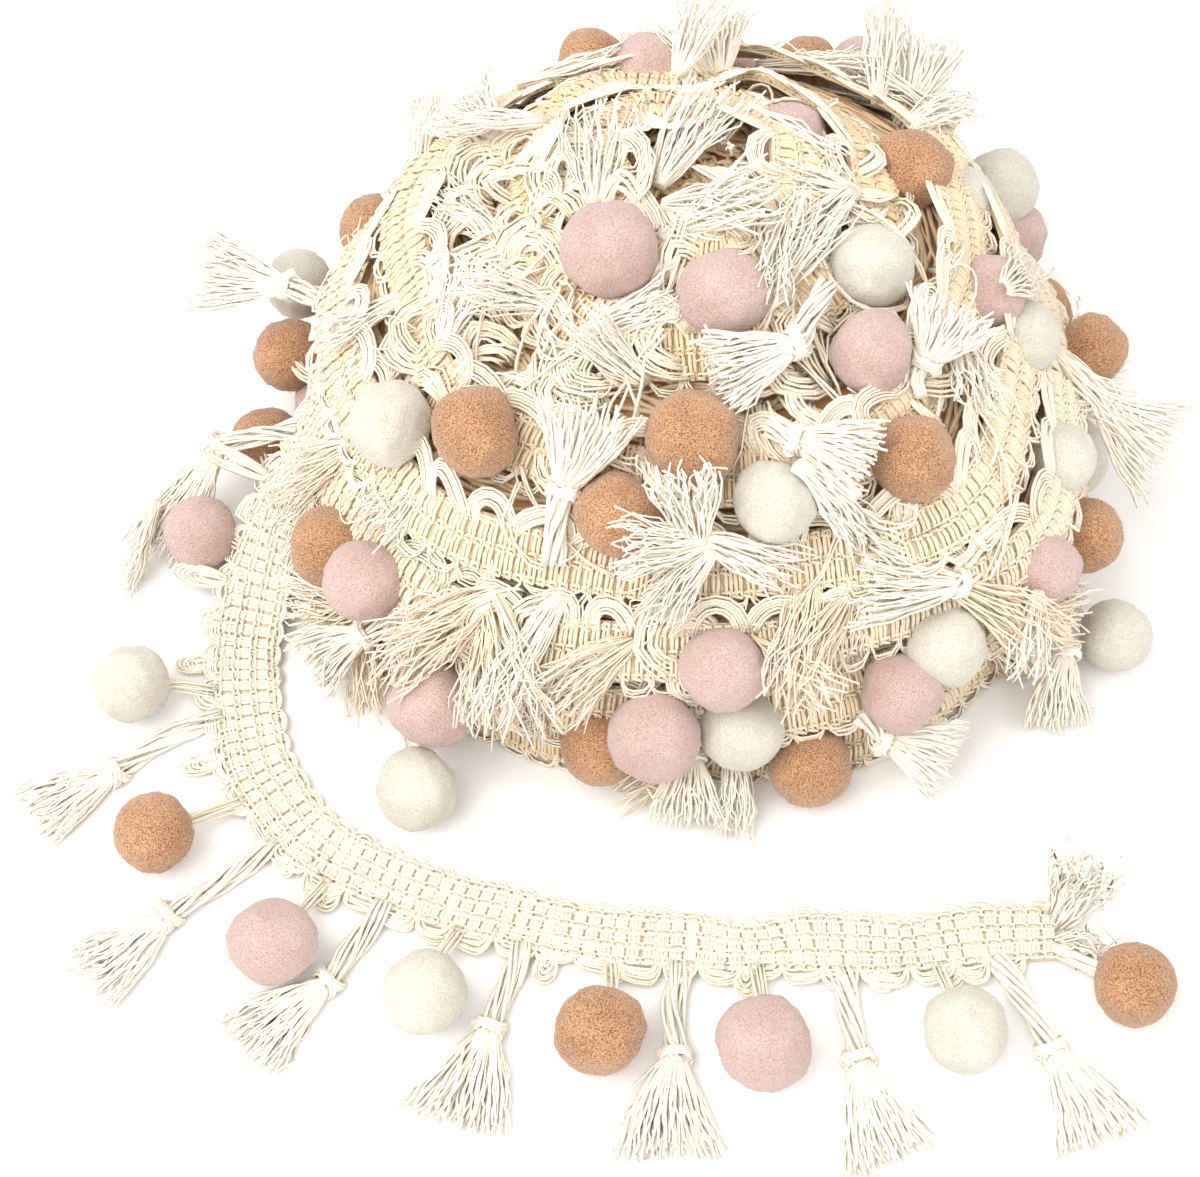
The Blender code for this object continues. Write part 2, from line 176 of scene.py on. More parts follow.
# %% [markdown]
# ## Shader groups
# Two effects are used by several materials, so each is a node group with named inputs:
#
# * *Yarn ply* draws the slanting plies of a twisted yarn, and mixes in a golden tint that is partly
#   painted shade. Every tube carries a map called `ply`, whose first number is the distance along the
#   yarn and whose second goes once round it, so a slanting stripe on that map winds round the yarn
#   as the real plies do.
# * *Felt grain* gives felted wool its speckle and its slightly uneven dye.

# %% Shader group helpers
SOCKET_KINDS = {"number": "NodeSocketFloat", "colour": "NodeSocketColor", "vector": "NodeSocketVector"}


def new_group(name, inputs, outputs):
    """A shader node group with named sockets: inputs are (name, kind, default)."""
    group = bpy.data.node_groups.new(name, "ShaderNodeTree")
    for socket, kind, value in inputs:
        made = group.interface.new_socket(socket, in_out="INPUT", socket_type=SOCKET_KINDS[kind])
        if value is not None:
            made.default_value = value
    for socket, kind in outputs:
        group.interface.new_socket(socket, in_out="OUTPUT", socket_type=SOCKET_KINDS[kind])
    return group, group.nodes.new("NodeGroupInput"), group.nodes.new("NodeGroupOutput")


def node(tree, kind, links=None, **settings):
    """Adds a node. settings are its own, and links are {input: socket or value}."""
    made = tree.nodes.new(kind)
    for key, value in settings.items():
        setattr(made, key, value)
    for key, value in (links or {}).items():
        if isinstance(value, bpy.types.NodeSocket):
            tree.links.new(value, made.inputs[key])
        else:
            made.inputs[key].default_value = value
    return made


def maths(tree, operation, *values, clamp=False):
    """Adds a math node that works on these numbers or sockets, and returns its result."""
    made = node(tree, "ShaderNodeMath", dict(enumerate(values)), operation=operation, use_clamp=clamp)
    return made.outputs[0]


def mixed_colours(tree, share, first, second):
    """Mixes two colours by a share from 0 to 1."""
    mixed = tree.nodes.new("ShaderNodeMix")
    mixed.data_type = "RGBA"
    for key, value in ((0, share), (6, first), (7, second)):
        tree.links.new(value, mixed.inputs[key])
    return mixed.outputs[2]


# %% [markdown]
# ## Yarn ply
# The cotton is spun from a few plies twisted together, so each yarn shows fine slanting stripes.
# Modelling every ply would take several times the triangles. A sine over the `ply` map draws them
# as relief instead, and colours the grooves between plies warmer, as painted shade. Two stored
# numbers colour each strand: `tone` varies at random, and the other is a golden tint that is partly
# random and partly painted shade, where yarn lies deep, low or under other yarn.

# %% Yarn ply group
PATCHES_PER_METRE = 60.0
# Painted shade: how much warmer the yarn is coloured in the grooves between two plies.
PLY_VALLEY_SHADE = 0.12  # how much warmer yarn is between two plies


def make_yarn_ply():
    group, given, out = new_group(
        "yarn ply",
        [
            ("Pale", "colour", (1, 1, 1, 1)),
            ("Warm and shaded", "colour", (1, 0.8, 0.6, 1)),
            ("Plies per mm", "number", 0.9),
        ],
        [("Colour", "colour"), ("Height", "number")],
    )
    place = node(group, "ShaderNodeUVMap", uv_map="ply")
    split = node(group, "ShaderNodeSeparateXYZ", {0: place.outputs["UV"]})
    along = maths(group, "MULTIPLY", split.outputs["X"], given.outputs["Plies per mm"])
    slant = maths(group, "ADD", along, split.outputs["Y"])
    turns = maths(group, "MULTIPLY", slant, 2 * math.pi)
    ply = maths(group, "SINE", turns)
    height = maths(group, "MULTIPLY_ADD", ply, 0.5, 0.5)
    group.links.new(height, out.inputs["Height"])
    tone = node(group, "ShaderNodeAttribute", attribute_name="tone")
    warmth_and_shade = node(group, "ShaderNodeAttribute", attribute_name="warmth_and_shade")
    spot = node(group, "ShaderNodeTexCoord")
    look = {"Vector": spot.outputs["Object"], "Scale": PATCHES_PER_METRE, "Detail": 2.0}
    patch = node(group, "ShaderNodeTexNoise", look)
    uneven = maths(group, "MULTIPLY", patch.outputs["Fac"], tone.outputs["Fac"])
    # The golden tint mixes random unevenness with painted shade that each point carries.
    share = maths(group, "MULTIPLY_ADD", uneven, 0.4, warmth_and_shade.outputs["Fac"], clamp=True)
    # Painted shade: the grooves between plies are coloured warmer.
    valley_shade = maths(group, "MULTIPLY_ADD", height, -PLY_VALLEY_SHADE, PLY_VALLEY_SHADE)
    both = maths(group, "ADD", share, valley_shade, clamp=True)
    colour = mixed_colours(group, both, given.outputs["Pale"], given.outputs["Warm and shaded"])
    group.links.new(colour, out.inputs["Colour"])
    return group


# %% [markdown]
# ## Felt grain
# The pompoms are wool, felted until light and dark fibres mat together. A picture of felt would
# need a map and would repeat. Noise in the object's own space needs neither: a fine one makes the
# speckle, and a coarse one the slightly uneven dye.

# %% Felt grain group
def make_felt_grain():
    group, given, out = new_group(
        "felt grain",
        [
            ("Light", "colour", (1, 1, 1, 1)),
            ("Dark", "colour", (0.6, 0.5, 0.4, 1)),
            ("Grain size", "number", 900.0),
            ("Speckle", "number", 0.5),
        ],
        [("Colour", "colour"), ("Height", "number")],
    )
    spot = node(group, "ShaderNodeTexCoord")
    grain = node(
        group,
        "ShaderNodeTexNoise",
        {"Vector": spot.outputs["Object"], "Scale": given.outputs["Grain size"], "Detail": 3.0},
    )
    look = {"Vector": spot.outputs["Object"], "Scale": 110.0, "Detail": 2.0}
    patch = node(group, "ShaderNodeTexNoise", look)
    limits = {"Value": grain.outputs["Fac"], "From Min": 0.42, "From Max": 0.68}
    sharp = node(group, "ShaderNodeMapRange", limits)
    speckle = maths(group, "MULTIPLY", sharp.outputs["Result"], given.outputs["Speckle"])
    limits = {"Value": patch.outputs["Fac"], "From Min": 0.35, "From Max": 0.7, "To Max": 0.25}
    cloud = node(group, "ShaderNodeMapRange", limits)
    both = maths(group, "ADD", speckle, cloud.outputs["Result"], clamp=True)
    colour = mixed_colours(group, both, given.outputs["Light"], given.outputs["Dark"])
    group.links.new(colour, out.inputs["Colour"])
    group.links.new(grain.outputs["Fac"], out.inputs["Height"])
    return group


YARN_PLY = make_yarn_ply()
FELT_GRAIN = make_felt_grain()
print("groups:", YARN_PLY.name, FELT_GRAIN.name)

# %% [markdown]
# ## Materials
# Cotton yarn is matt, with a faint sheen where fine fibres catch the light, and so is felted
# wool. Each material sets those on the shader itself and takes its colour and its relief from
# the group.


# %% Materials
def material_from(name, group, values, bump, bump_distance, sheen, roughness):
    made = bpy.data.materials.new(name)
    made.use_nodes = True
    tree = made.node_tree
    shader = tree.nodes["Principled BSDF"]
    shader.inputs["Roughness"].default_value = roughness
    shader.inputs["Sheen Weight"].default_value = sheen
    shader.inputs["Sheen Roughness"].default_value = 0.5
    shader.inputs["Specular IOR Level"].default_value = 0.25
    effect = tree.nodes.new("ShaderNodeGroup")
    effect.node_tree = group
    for key, value in values.items():
        effect.inputs[key].default_value = value
    relief = node(tree, "ShaderNodeBump", {"Strength": bump, "Distance": bump_distance})
    tree.links.new(effect.outputs["Height"], relief.inputs["Height"])
    tree.links.new(relief.outputs["Normal"], shader.inputs["Normal"])
    tree.links.new(effect.outputs["Colour"], shader.inputs["Base Color"])
    return made


def cotton(name, pale, warm_and_shaded, plies=0.9, bump=0.3):
    values = {"Pale": (*pale, 1.0), "Warm and shaded": (*warm_and_shaded, 1.0), "Plies per mm": plies}
    return material_from(name, YARN_PLY, values, bump, 0.0002, 0.15, 0.85)


def felt(name, light, dark, speckle):
    values = {"Light": (*light, 1.0), "Dark": (*dark, 1.0), "Grain size": 2800.0, "Speckle": speckle}
    return material_from(name, FELT_GRAIN, values, 0.8, 0.0005, 0.35, 0.95)


HEADING_COTTON = cotton("heading_cotton", (0.85, 0.80, 0.70), (0.85, 0.71, 0.51))
LOOP_COTTON = cotton("loop_cotton", (0.96, 0.90, 0.78), (0.93, 0.77, 0.55))
TASSEL_COTTON = cotton("tassel_cotton", (0.98, 0.94, 0.86), (0.95, 0.79, 0.59), 0.7, 0.12)
HEAP_COTTON = cotton("heap_cotton", (0.95, 0.87, 0.72), (0.90, 0.71, 0.47))
# The ground cloth is the back of the trim; its darker, golden colour is painted shade in the gaps between
# the yarns.
GROUND_AND_SHADE_COTTON = cotton("ground_and_shade_cotton", (0.88, 0.77, 0.58), (0.82, 0.66, 0.44))
# Deep cotton is painted shade: the golden colour of yarn deep in the heap, where little light reaches.
DEEP_SHADE_COTTON = cotton("deep_shade_cotton", (0.97, 0.79, 0.55), (0.92, 0.64, 0.38))
# Core cotton is painted shade: the dark colour of the heap's inside, where no light reaches.
CORE_SHADE_COTTON = cotton("core_shade_cotton", (0.82, 0.52, 0.26), (0.64, 0.35, 0.15))
FELTS = {
    "cream": felt("cream_felt", (0.74, 0.725, 0.655), (0.52, 0.46, 0.36), 0.65),
    "tan": felt("tan_felt", (0.65, 0.38, 0.215), (0.24, 0.10, 0.04), 1.05),
    "pink": felt("pink_felt", (0.66, 0.51, 0.475), (0.45, 0.27, 0.23), 0.85),
}
print("materials:", len(bpy.data.materials))

# %% [markdown]
# ## From lines to yarn
# A `Skein` gathers strands, which are arrays of points in millimetres, and makes one mesh of
# them: round every point of every strand it sets a small ring, and it joins the rings. All the
# strands of one call are worked out together, which is why tens of thousands take seconds.


# %% Lines
def unit(vectors):
    length = np.linalg.norm(vectors, axis=-1, keepdims=True)
    return vectors / np.maximum(length, 1e-9)


def through(points, count):
    """Smooth lines through control points (... x k x 3), cut into count points each."""
    points = np.asarray(points, float)
    k = points.shape[-2]
    t = np.linspace(0, k - 1, count)
    i = np.minimum(t.astype(int), k - 2)
    f = (t - i)[:, None]
    before = 2 * points[..., :1, :] - points[..., 1:2, :]
    after = 2 * points[..., -1:, :] - points[..., -2:-1, :]
    p = np.concatenate([before, points, after], -2)
    a, b, c, d = (p[..., i + j, :] for j in range(4))
    square = (2 * a - 5 * b + 4 * c - d) * f**2
    cube = (3 * b - a - 3 * c + d) * f**3
    return 0.5 * (2 * b + (c - a) * f + square + cube)


def wobble(count, steps, size, waves=2.5):
    """Slow uneven sideways drift for strands, nothing at their start and most at their end."""
    t = np.linspace(0, 1, steps)[None, :, None]
    start = chance.uniform(0, 2 * math.pi, (count, 1, 3))
    pace = chance.uniform(0.5, 1.0, (count, 1, 3)) * waves * 2 * math.pi
    other = chance.uniform(0, 2 * math.pi, (count, 1, 3))
    return size * t * (np.sin(start + pace * t) + 0.5 * np.sin(other + 2.3 * pace * t) - np.sin(start))


def facing_axes(path, facing):
    """Unit side and up vectors along a path (n x 3), with up as near to facing as can be."""
    along = unit(np.gradient(path, axis=0))
    side = unit(np.cross(along, np.asarray(facing, float)))
    return side, np.cross(side, along)


GOLDEN_ANGLE = 2.39996  # in radians; turning by it spreads points evenly over a disc


def bundle(path, count, wide, thick, facing=(0, 0, 1), turns=0.0, spread=0.0):
    """count strands that run side by side along a path, within an oval wide x thick."""
    path = np.asarray(path, float)
    steps = len(path)
    side, up = facing_axes(path, facing)
    j = np.arange(count) + 0.5
    reach = np.sqrt(j / count)
    angle = j * GOLDEN_ANGLE + chance.uniform(-0.4, 0.4, count)
    turned = angle[:, None] + turns * 2 * math.pi * np.linspace(0, 1, steps)[None, :]
    wide = np.broadcast_to(np.asarray(wide, float), steps)
    thick = np.broadcast_to(np.asarray(thick, float), steps)
    u = reach[:, None] * np.cos(turned) * wide
    v = reach[:, None] * np.sin(turned) * thick
    strands = path[None] + side[None] * u[..., None] + up[None] * v[..., None]
    if spread:
        strands = strands + wobble(count, steps, spread)
    return strands


FAN_LAYERS = 3


def fanned(path, count, wide, thick, facing, spread):
    """count strands along a path in even layers, so that the upper ones cover the lower."""
    path = np.asarray(path, float)
    steps = len(path)
    side, up = facing_axes(path, facing)
    k = np.arange(count)
    layer, row = k % FAN_LAYERS, k // FAN_LAYERS
    u = 2 * (row + 0.5 + layer / FAN_LAYERS) / math.ceil(count / FAN_LAYERS) - 1
    u = np.clip(u + chance.normal(0, 0.6 / count * FAN_LAYERS, count), -1, 1)
    v = (layer - (FAN_LAYERS - 1) / 2) / (FAN_LAYERS / 2) * np.sqrt(np.maximum(1 - u * u, 0.05))
    wide = np.broadcast_to(np.asarray(wide, float), steps)
    thick = np.broadcast_to(np.asarray(thick, float), steps)
    strands = path[None] + side[None] * (u[:, None] * wide)[..., None]
    strands = strands + up[None] * (v[:, None] * thick)[..., None]
    return strands + wobble(count, steps, spread, 2.2)


# %% [markdown]
# ## The skein
# A yarn could be a Blender curve with a round bevel, but thousands of curves are slow to make and
# to export. So the tubes are worked out as arrays, with rings carried along each strand without
# twisting, and become one mesh. Each strand also has a cell of its own on a second map, for baking.

# %% Skein
BAKE_MAP = "OFBake"  # the map that an exported picture of the colours is laid out on
# A strand's cell on it, in shares of the cell: its length, its way round, and its two end caps.
CELL_FROM, CELL_LONG = 0.14, 0.72
CELL_LOW, CELL_HIGH = 0.04, 0.92
CAP_MIDDLES = (0.06, 0.94)
CAP_HALF = (0.05, 0.45)
PIECE_TRIANGLES = {}


def mesh_of(name, points, corners, sizes):
    """A mesh of points in mm, the corners of all its faces, and how many corners each has."""
    made = bpy.data.meshes.new(name)
    made.vertices.add(len(points))
    made.vertices.foreach_set("co", (points * MM).astype(np.float32).ravel())
    made.loops.add(len(corners))
    made.loops.foreach_set("vertex_index", corners.astype(np.int32))
    made.polygons.add(len(sizes))
    starts = np.concatenate([[0], np.cumsum(sizes)[:-1]]).astype(np.int32)
    made.polygons.foreach_set("loop_start", starts)
    made.update(calc_edges=True)
    return made


def add_map(made, name, corners):
    """Gives a mesh a UV map, with one pair of numbers for each corner."""
    layer = made.uv_layers.new(name=name)
    layer.uv.foreach_set("vector", corners.astype(np.float32).ravel())


def add_values(made, tone, warmth_and_shade):
    """Stores the two numbers that the yarn's colour reads at each point."""
    for key, value in (("tone", tone), ("warmth_and_shade", warmth_and_shade)):
        found = made.attributes.new(key, "FLOAT", "POINT")
        found.data.foreach_set("value", value.astype(np.float32))


def add_piece(made, finish, nodes=()):
    """Puts a mesh on the trim as a piece, which may stand for some nodes of the part."""
    made.materials.append(finish)
    obj = bpy.data.objects.new(made.name, made)
    bpy.context.scene.collection.objects.link(obj)
    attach(obj, BODY)
    if nodes:
        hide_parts(*nodes)
    made.calc_loop_triangles()
    PIECE_TRIANGLES[made.name] = len(made.loop_triangles)
    return obj


def ring_faces(rings, count):
    """Faces that join rings of points one after another and close both ends."""
    faces = []
    for level in range(rings - 1):
        for k in range(count):
            a, b = level * count + k, level * count + (k + 1) % count
            faces.append((a, b, b + count, a + count))
    faces.append(tuple(range(count))[::-1])
    faces.append(tuple(range((rings - 1) * count, rings * count)))
    return faces


class Skein:
    """Strands of yarn gathered before they become one mesh."""

    def __init__(self):
        self.lots = []

    def lay(self, strands, radius, sides=3, warmth_and_shade=0.0, tip=1.0):
        """Adds strands (m x n x 3, mm). tip is how much thinner they end, and the golden tint, 0 to 1, is
        partly random and partly painted shade.
        """
        strands = np.asarray(strands, float)
        if strands.ndim == 2:
            strands = strands[None]
        m, n, _ = strands.shape
        # Nothing sinks into the table.
        strands = strands.copy()
        strands[..., 2] = np.maximum(strands[..., 2], np.max(radius))
        radius = np.broadcast_to(np.asarray(radius, float), (m, n)) * np.linspace(1, tip, n)
        warmth_and_shade = np.broadcast_to(np.asarray(warmth_and_shade, float), (m, n))
        self.lots.append((strands, radius, sides, warmth_and_shade))

    @staticmethod
    def rings(strands, radius, sides):
        m, n, _ = strands.shape
        along = unit(np.gradient(strands, axis=1))
        side = np.empty_like(strands)
        least = np.eye(3)[np.abs(along[:, 0]).argmin(-1)]
        side[:, 0] = unit(np.cross(along[:, 0], least))
        for i in range(1, n):
            turned = side[:, i - 1]
            turned = turned - (turned * along[:, i]).sum(-1, keepdims=True) * along[:, i]
            side[:, i] = unit(turned)
        up = np.cross(along, side)
        angle = 2 * math.pi * np.arange(sides) / sides
        round_it = side[:, :, None] * np.cos(angle)[:, None] + up[:, :, None] * np.sin(angle)[:, None]
        return strands[:, :, None] + round_it * radius[:, :, None, None]

    def mesh(self, name):
        places, quads, quad_ply, caps, tones, warmths_and_shades = [], [], [], [], [], []
        quad_bake, cap_bake = [], []
        start, laid = 0, 0
        cells = math.ceil(math.sqrt(sum(len(lot[0]) for lot in self.lots)))
        for strands, radius, sides, warmth_and_shade in self.lots:
            m, n, _ = strands.shape
            places.append(self.rings(strands, radius, sides).reshape(-1, 3))
            first = start + np.arange(m)[:, None, None] * n * sides
            i = np.arange(n - 1)[None, :, None]
            k = np.arange(sides)[None, None, :]
            after = (k + 1) % sides
            quad = np.stack(
                [
                    first + i * sides + k,
                    first + i * sides + after,
                    first + (i + 1) * sides + after,
                    first + (i + 1) * sides + k,
                ],
                -1,
            )
            quads.append(quad.reshape(-1, 4))
            step = np.linalg.norm(np.diff(strands, axis=1), axis=-1)
            along = np.concatenate([np.zeros((m, 1)), np.cumsum(step, 1)], 1)
            u0, u1 = np.broadcast_arrays(along[:, :-1, None], along[:, 1:, None])
            u0 = np.broadcast_to(u0, (m, n - 1, sides))
            u1 = np.broadcast_to(u1, (m, n - 1, sides))
            v0 = np.broadcast_to(k / sides, (m, n - 1, sides))
            v1 = v0 + 1 / sides
            ply = np.stack([u0, v0, u0, v1, u1, v1, u1, v0], -1)
            quad_ply.append(ply.reshape(-1, 2))
            # On the bake map each strand has one cell of a grid: its length, then its two ends.
            cell = laid + np.arange(m)
            cell = np.stack([cell % cells, cell // cells], -1)[:, None, None]
            laid += m
            l0 = np.broadcast_to(CELL_FROM + CELL_LONG * i / (n - 1), u0.shape)
            l1 = l0 + CELL_LONG / (n - 1)
            a0, a1 = CELL_LOW + CELL_HIGH * v0, CELL_LOW + CELL_HIGH * v1
            spots = ((l0, a0), (l0, a1), (l1, a1), (l1, a0))
            flat = np.stack([np.stack(p, -1) for p in spots], -2)
            quad_bake.append(((flat + cell[..., None, :]) / cells).reshape(-1, 2))
            turn = 2 * math.pi * np.arange(sides) / sides
            for middle in CAP_MIDDLES:
                x = middle + CAP_HALF[0] * np.cos(turn)
                spot = np.stack([x, 0.5 + CAP_HALF[1] * np.sin(turn)], -1)
                cap_bake.append(((spot + cell[:, 0]) / cells).reshape(-1, 2))
            for end, order in ((0, slice(None, None, -1)), (n - 1, slice(None))):
                cap = first[:, 0] + end * sides + np.arange(sides)[order]
                caps.append(cap.reshape(m, sides))
            tone = np.repeat(chance.uniform(0, 1, m), n * sides)
            tones.append(tone)
            warmths_and_shades.append(np.repeat(warmth_and_shade.reshape(-1), sides))
            start += m * n * sides
        places = np.concatenate(places)
        corners = [np.concatenate(quads).reshape(-1)]
        sizes = [np.full(len(corners[0]) // 4, 4)]
        for cap in caps:
            corners.append(cap.reshape(-1))
            sizes.append(np.full(len(cap), cap.shape[1]))
        corners = np.concatenate(corners)
        sizes = np.concatenate(sizes)
        ply = np.concatenate(quad_ply)
        ply = np.concatenate([ply, np.zeros((len(corners) - len(ply), 2))])
        made = mesh_of(name, places, corners, sizes)
        add_map(made, "ply", ply)
        add_map(made, BAKE_MAP, np.concatenate(quad_bake + cap_bake))
        made.uv_layers.active = made.uv_layers["ply"]
        add_values(made, np.concatenate(tones), np.concatenate(warmths_and_shades))
        made.shade_smooth()
        return made

    def piece(self, name, finish, nodes=()):
        """Makes the mesh a piece of the trim, standing for these nodes of the part."""
        obj = add_piece(self.mesh(name), finish, nodes)
        print(name, PIECE_TRIANGLES[name], "triangles")
        return obj


# %% [markdown]
# ## Pompoms
# A felt pompom is a ball of wool, never quite round, with a short fuzz of fibres that softens its
# outline. A subdivided icosahedron has evenly spread faces, so slow waves can push it out of
# round without showing poles, and each fibre is one narrow triangle set on it.


# %% Pompom shape
def unit_ball(subdivisions):
    bpy.ops.mesh.primitive_ico_sphere_add(subdivisions=subdivisions, radius=1.0)
    ball = bpy.context.object
    points = np.array([v.co for v in ball.data.vertices])
    faces = np.array([p.vertices[:] for p in ball.data.polygons])
    bpy.data.objects.remove(ball, do_unlink=True)
    return unit(points), faces


BALL_POINTS, BALL_FACES = unit_ball(4)
FIBRES = 1200
FIBRE_WIDTH = 0.05
FIBRE_LENGTH = (0.3, 0.95)
NAP = 0.010  # unevenness of the surface, as a share of the radius
POMPOM_CORNERS = 1.02  # the CAD ball's corners stand this share outside its radius


def out_of_round(points):
    """How far each direction of one pompom stands out, as a share of its radius."""
    shape = np.zeros(len(points))
    for pace, size in ((1.6, 0.022), (3.1, 0.014), (7.0, 0.007)):
        for _ in range(3):
            towards = unit(chance.normal(size=3))
            shape += size * np.sin(pace * points @ towards * 2 + chance.uniform(0, 6.28))
    return 1 + shape + NAP * chance.normal(size=len(points))


def fibres_on(points, count):
    """Narrow triangles that stand on a surface, given as points of it, mostly outwards."""
    chosen = points[chance.integers(0, len(points), count)]
    outward = unit(chosen)
    lean = unit(outward + 0.85 * chance.normal(size=(count, 3)))
    lean = np.where((lean * outward).sum(1, keepdims=True) < 0.15, outward, lean)
    side = unit(np.cross(lean, chance.normal(size=(count, 3)))) * FIBRE_WIDTH
    length = chance.uniform(*FIBRE_LENGTH, (count, 1))
    shift = chance.normal(size=(count, 3)) * 0.25
    root = chosen + shift - outward * 0.25
    return np.stack([root - side, root + side, root + lean * length], 1)


def disc_map(directions, upper):
    """Where directions lie on the bake map, which holds each half of a ball as one disc."""
    x, y, z = directions.T
    height = np.where(upper, z, -z)
    reach = np.sqrt(np.maximum(1 - height, 0)) / np.maximum(np.hypot(x, y), 1e-6)
    return np.stack([np.where(upper, 0.25, 0.75) + 0.21 * x * reach, 0.5 + 0.42 * y * reach], 1)


BALL_CORNERS = BALL_POINTS[BALL_FACES]
BALL_MAP = disc_map(BALL_CORNERS.reshape(-1, 3), np.repeat(BALL_CORNERS.mean(1)[:, 2] >= 0, 3))
FIBRE_SPOT = 0.004 * np.array([(-1, -1), (1, -1), (0, 1)])


def fibre_map(hairs):
    """A fibre takes its colour from the spot of the ball that it stands on."""
    root = unit(hairs.reshape(-1, 3, 3)[:, 0])
    return (disc_map(root, root[:, 2] >= 0)[:, None] + FIBRE_SPOT).reshape(-1, 2)


def pompom(name, centre, radius, colour, nodes=(), fibres=FIBRES):
    """A felted ball with its fibres. Its lowest points are held just above the table."""
    centre = np.asarray(centre, float)
    stretch = 1 + chance.uniform(-0.025, 0.035, 3)
    ball = BALL_POINTS * out_of_round(BALL_POINTS)[:, None] * radius * stretch
    hairs = fibres_on(ball, fibres).reshape(-1, 3)
    points = np.concatenate([ball, hairs]) + centre
    points[:, 2] = np.maximum(points[:, 2], 0.05)
    hair_faces = len(ball) + np.arange(len(hairs)).reshape(-1, 3)
    faces = np.concatenate([BALL_FACES, hair_faces])
    made = mesh_of(name, points, faces.reshape(-1), np.full(len(faces), 3))
    add_map(made, BAKE_MAP, np.concatenate([BALL_MAP, fibre_map(hairs)]))
    made.shade_smooth()
    return add_piece(made, FELTS[colour], nodes)


# %% [markdown]
# ## Pompoms of the part
# The part holds plain balls where pompoms show best. Each is replaced by a felted ball of the same
# size in the same place. `POMPOMS` remembers them, so that strands laid later can keep clear.

# %% Pompoms that the CAD has
def node_colours():
    slots = {part["node"]: part["material_slot"] for part in frame["record"]["subparts"]}
    return {n: s.removeprefix("felt_") for n, s in slots.items() if s.startswith("felt_")}


POMPOMS = []  # centre and radius of each, in mm
for cad_node, cad_colour in sorted(node_colours().items()):
    low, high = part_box(cad_node)
    size = (high.x - low.x) / MM / 2 / POMPOM_CORNERS
    middle = (low + high) / 2 / MM
    middle.z = high.z / MM - size * POMPOM_CORNERS
    POMPOMS.append((np.array(middle), size))
    pompom("felt_" + cad_node, middle, size, cad_colour, [cad_node])
print("pompoms:", len(POMPOMS))

# %% [markdown]
# ## The heading
# The heading is worked crosswise: groups of three weft yarns run from edge to edge and lengthwise
# chains of stitches, the wales, hold them down, with a small slot between groups. A flat grid of
# cloth could carry a picture of that, but real strands catch the light at every crossing. So each
# weft yarn and each chain link is laid as its own line on a `Band`, which bends like the trim.

# %% Band
class Band:
    """A strip's middle surface: places on it are s along, v across and h above, in mm."""

    def __init__(self, centre, across, normal, width):
        self.centre, self.across, self.normal = centre, unit(across), unit(normal)
        self.width = np.broadcast_to(np.asarray(width, float), len(centre)).copy()
        step = np.linalg.norm(np.diff(centre, axis=0), axis=1)
        self.distance = np.concatenate([[0.0], np.cumsum(step)])
        self.length = float(self.distance[-1])

    def read(self, values, s):
        values = np.asarray(values, float)
        if values.ndim == 1:
            return np.interp(s, self.distance, values)
        return np.stack([np.interp(s, self.distance, column) for column in values.T], -1)

    def place(self, s, v, h):
        s, v, h = np.broadcast_arrays(np.asarray(s, float), v, h)
        centre = self.read(self.centre, s)
        # Past either end the strip goes straight on.
        over = (s - np.clip(s, 0, self.length))[..., None]
        first = unit(self.centre[1] - self.centre[0])
        last = unit(self.centre[-1] - self.centre[-2])
        centre = centre + np.where(over < 0, over * first, over * last)
        return centre + self.read(self.across, s) * v[..., None] + self.read(self.normal, s) * h[..., None]

    def width_at(self, s):
        return self.read(self.width, s)

    def nearest(self, point):
        return float(self.distance[np.linalg.norm(self.centre - np.asarray(point), axis=1).argmin()])


# %% [markdown]
# ## Ribs, chains and scallops
# On the real heading, ribs of crosswise yarn are held down by lengthwise chains, and small arches
# edge it. One helper lays each kind on any band, because the loose end and the heap both need
# them, with different counts.

# %% Knitting a band
WALES = (-0.42, -0.14, 0.14, 0.42)  # where the chains lie, as shares of the width
WALE_PITCH = 0.28
CHAIN_LINK = np.array(  # one link: along and across in shares of the row, and height in mm
    [
        (-0.62, 0.10, 0.15),
        (-0.30, 0.30, 0.70),
        (0.25, 0.30, 0.95),
        (0.58, 0.0, 0.60),
        (0.25, -0.30, 0.95),
        (-0.30, -0.30, 0.70),
        (-0.62, -0.10, 0.15),
    ]
)


def weft_rows(
    skein,
    band,
    pitch,
    strands,
    steps,
    sides,
    radius,
    warmth_and_shade,
    gather=0.64,
    puff=0.36,
    wale_pitch=WALE_PITCH,
    rise=0.55,
):
    """The crosswise yarns, in groups that part where a chain holds them. It returns how many."""
    rows = max(2, round(band.length / pitch))
    at = (np.arange(rows) + 0.5) * band.length / rows
    share = np.linspace(-0.49, 0.49, steps)
    block = 0.5 - 0.5 * np.cos(2 * math.pi * (share - WALES[0]) / wale_pitch)
    wide = band.width_at(at)[:, None] * share[None, :]
    drift = chance.normal(size=(rows, 1)) * 0.16
    slant = 1.1 * np.sin(at / 19.0 + chance.uniform(0, 6.28)) + 0.5 * np.sin(at / 7.3)
    drift = drift + slant[:, None] * share[None, :]
    for k in range(strands):
        beside = (k - (strands - 1) / 2) * (gather + puff * block)
        s = at[:, None] + beside[None, :] + drift
        height = 0.05 + rise * block[None, :] + chance.normal(size=(rows, 1)) * 0.06
        # Painted shade: the yarns are coloured warmer where they dip down under a chain.
        warm_and_shaded = warmth_and_shade + 0.18 * (1 - block)[None, :]
        skein.lay(band.place(s, wide, height), radius, sides, np.broadcast_to(warm_and_shaded, (rows, steps)))
    return rows


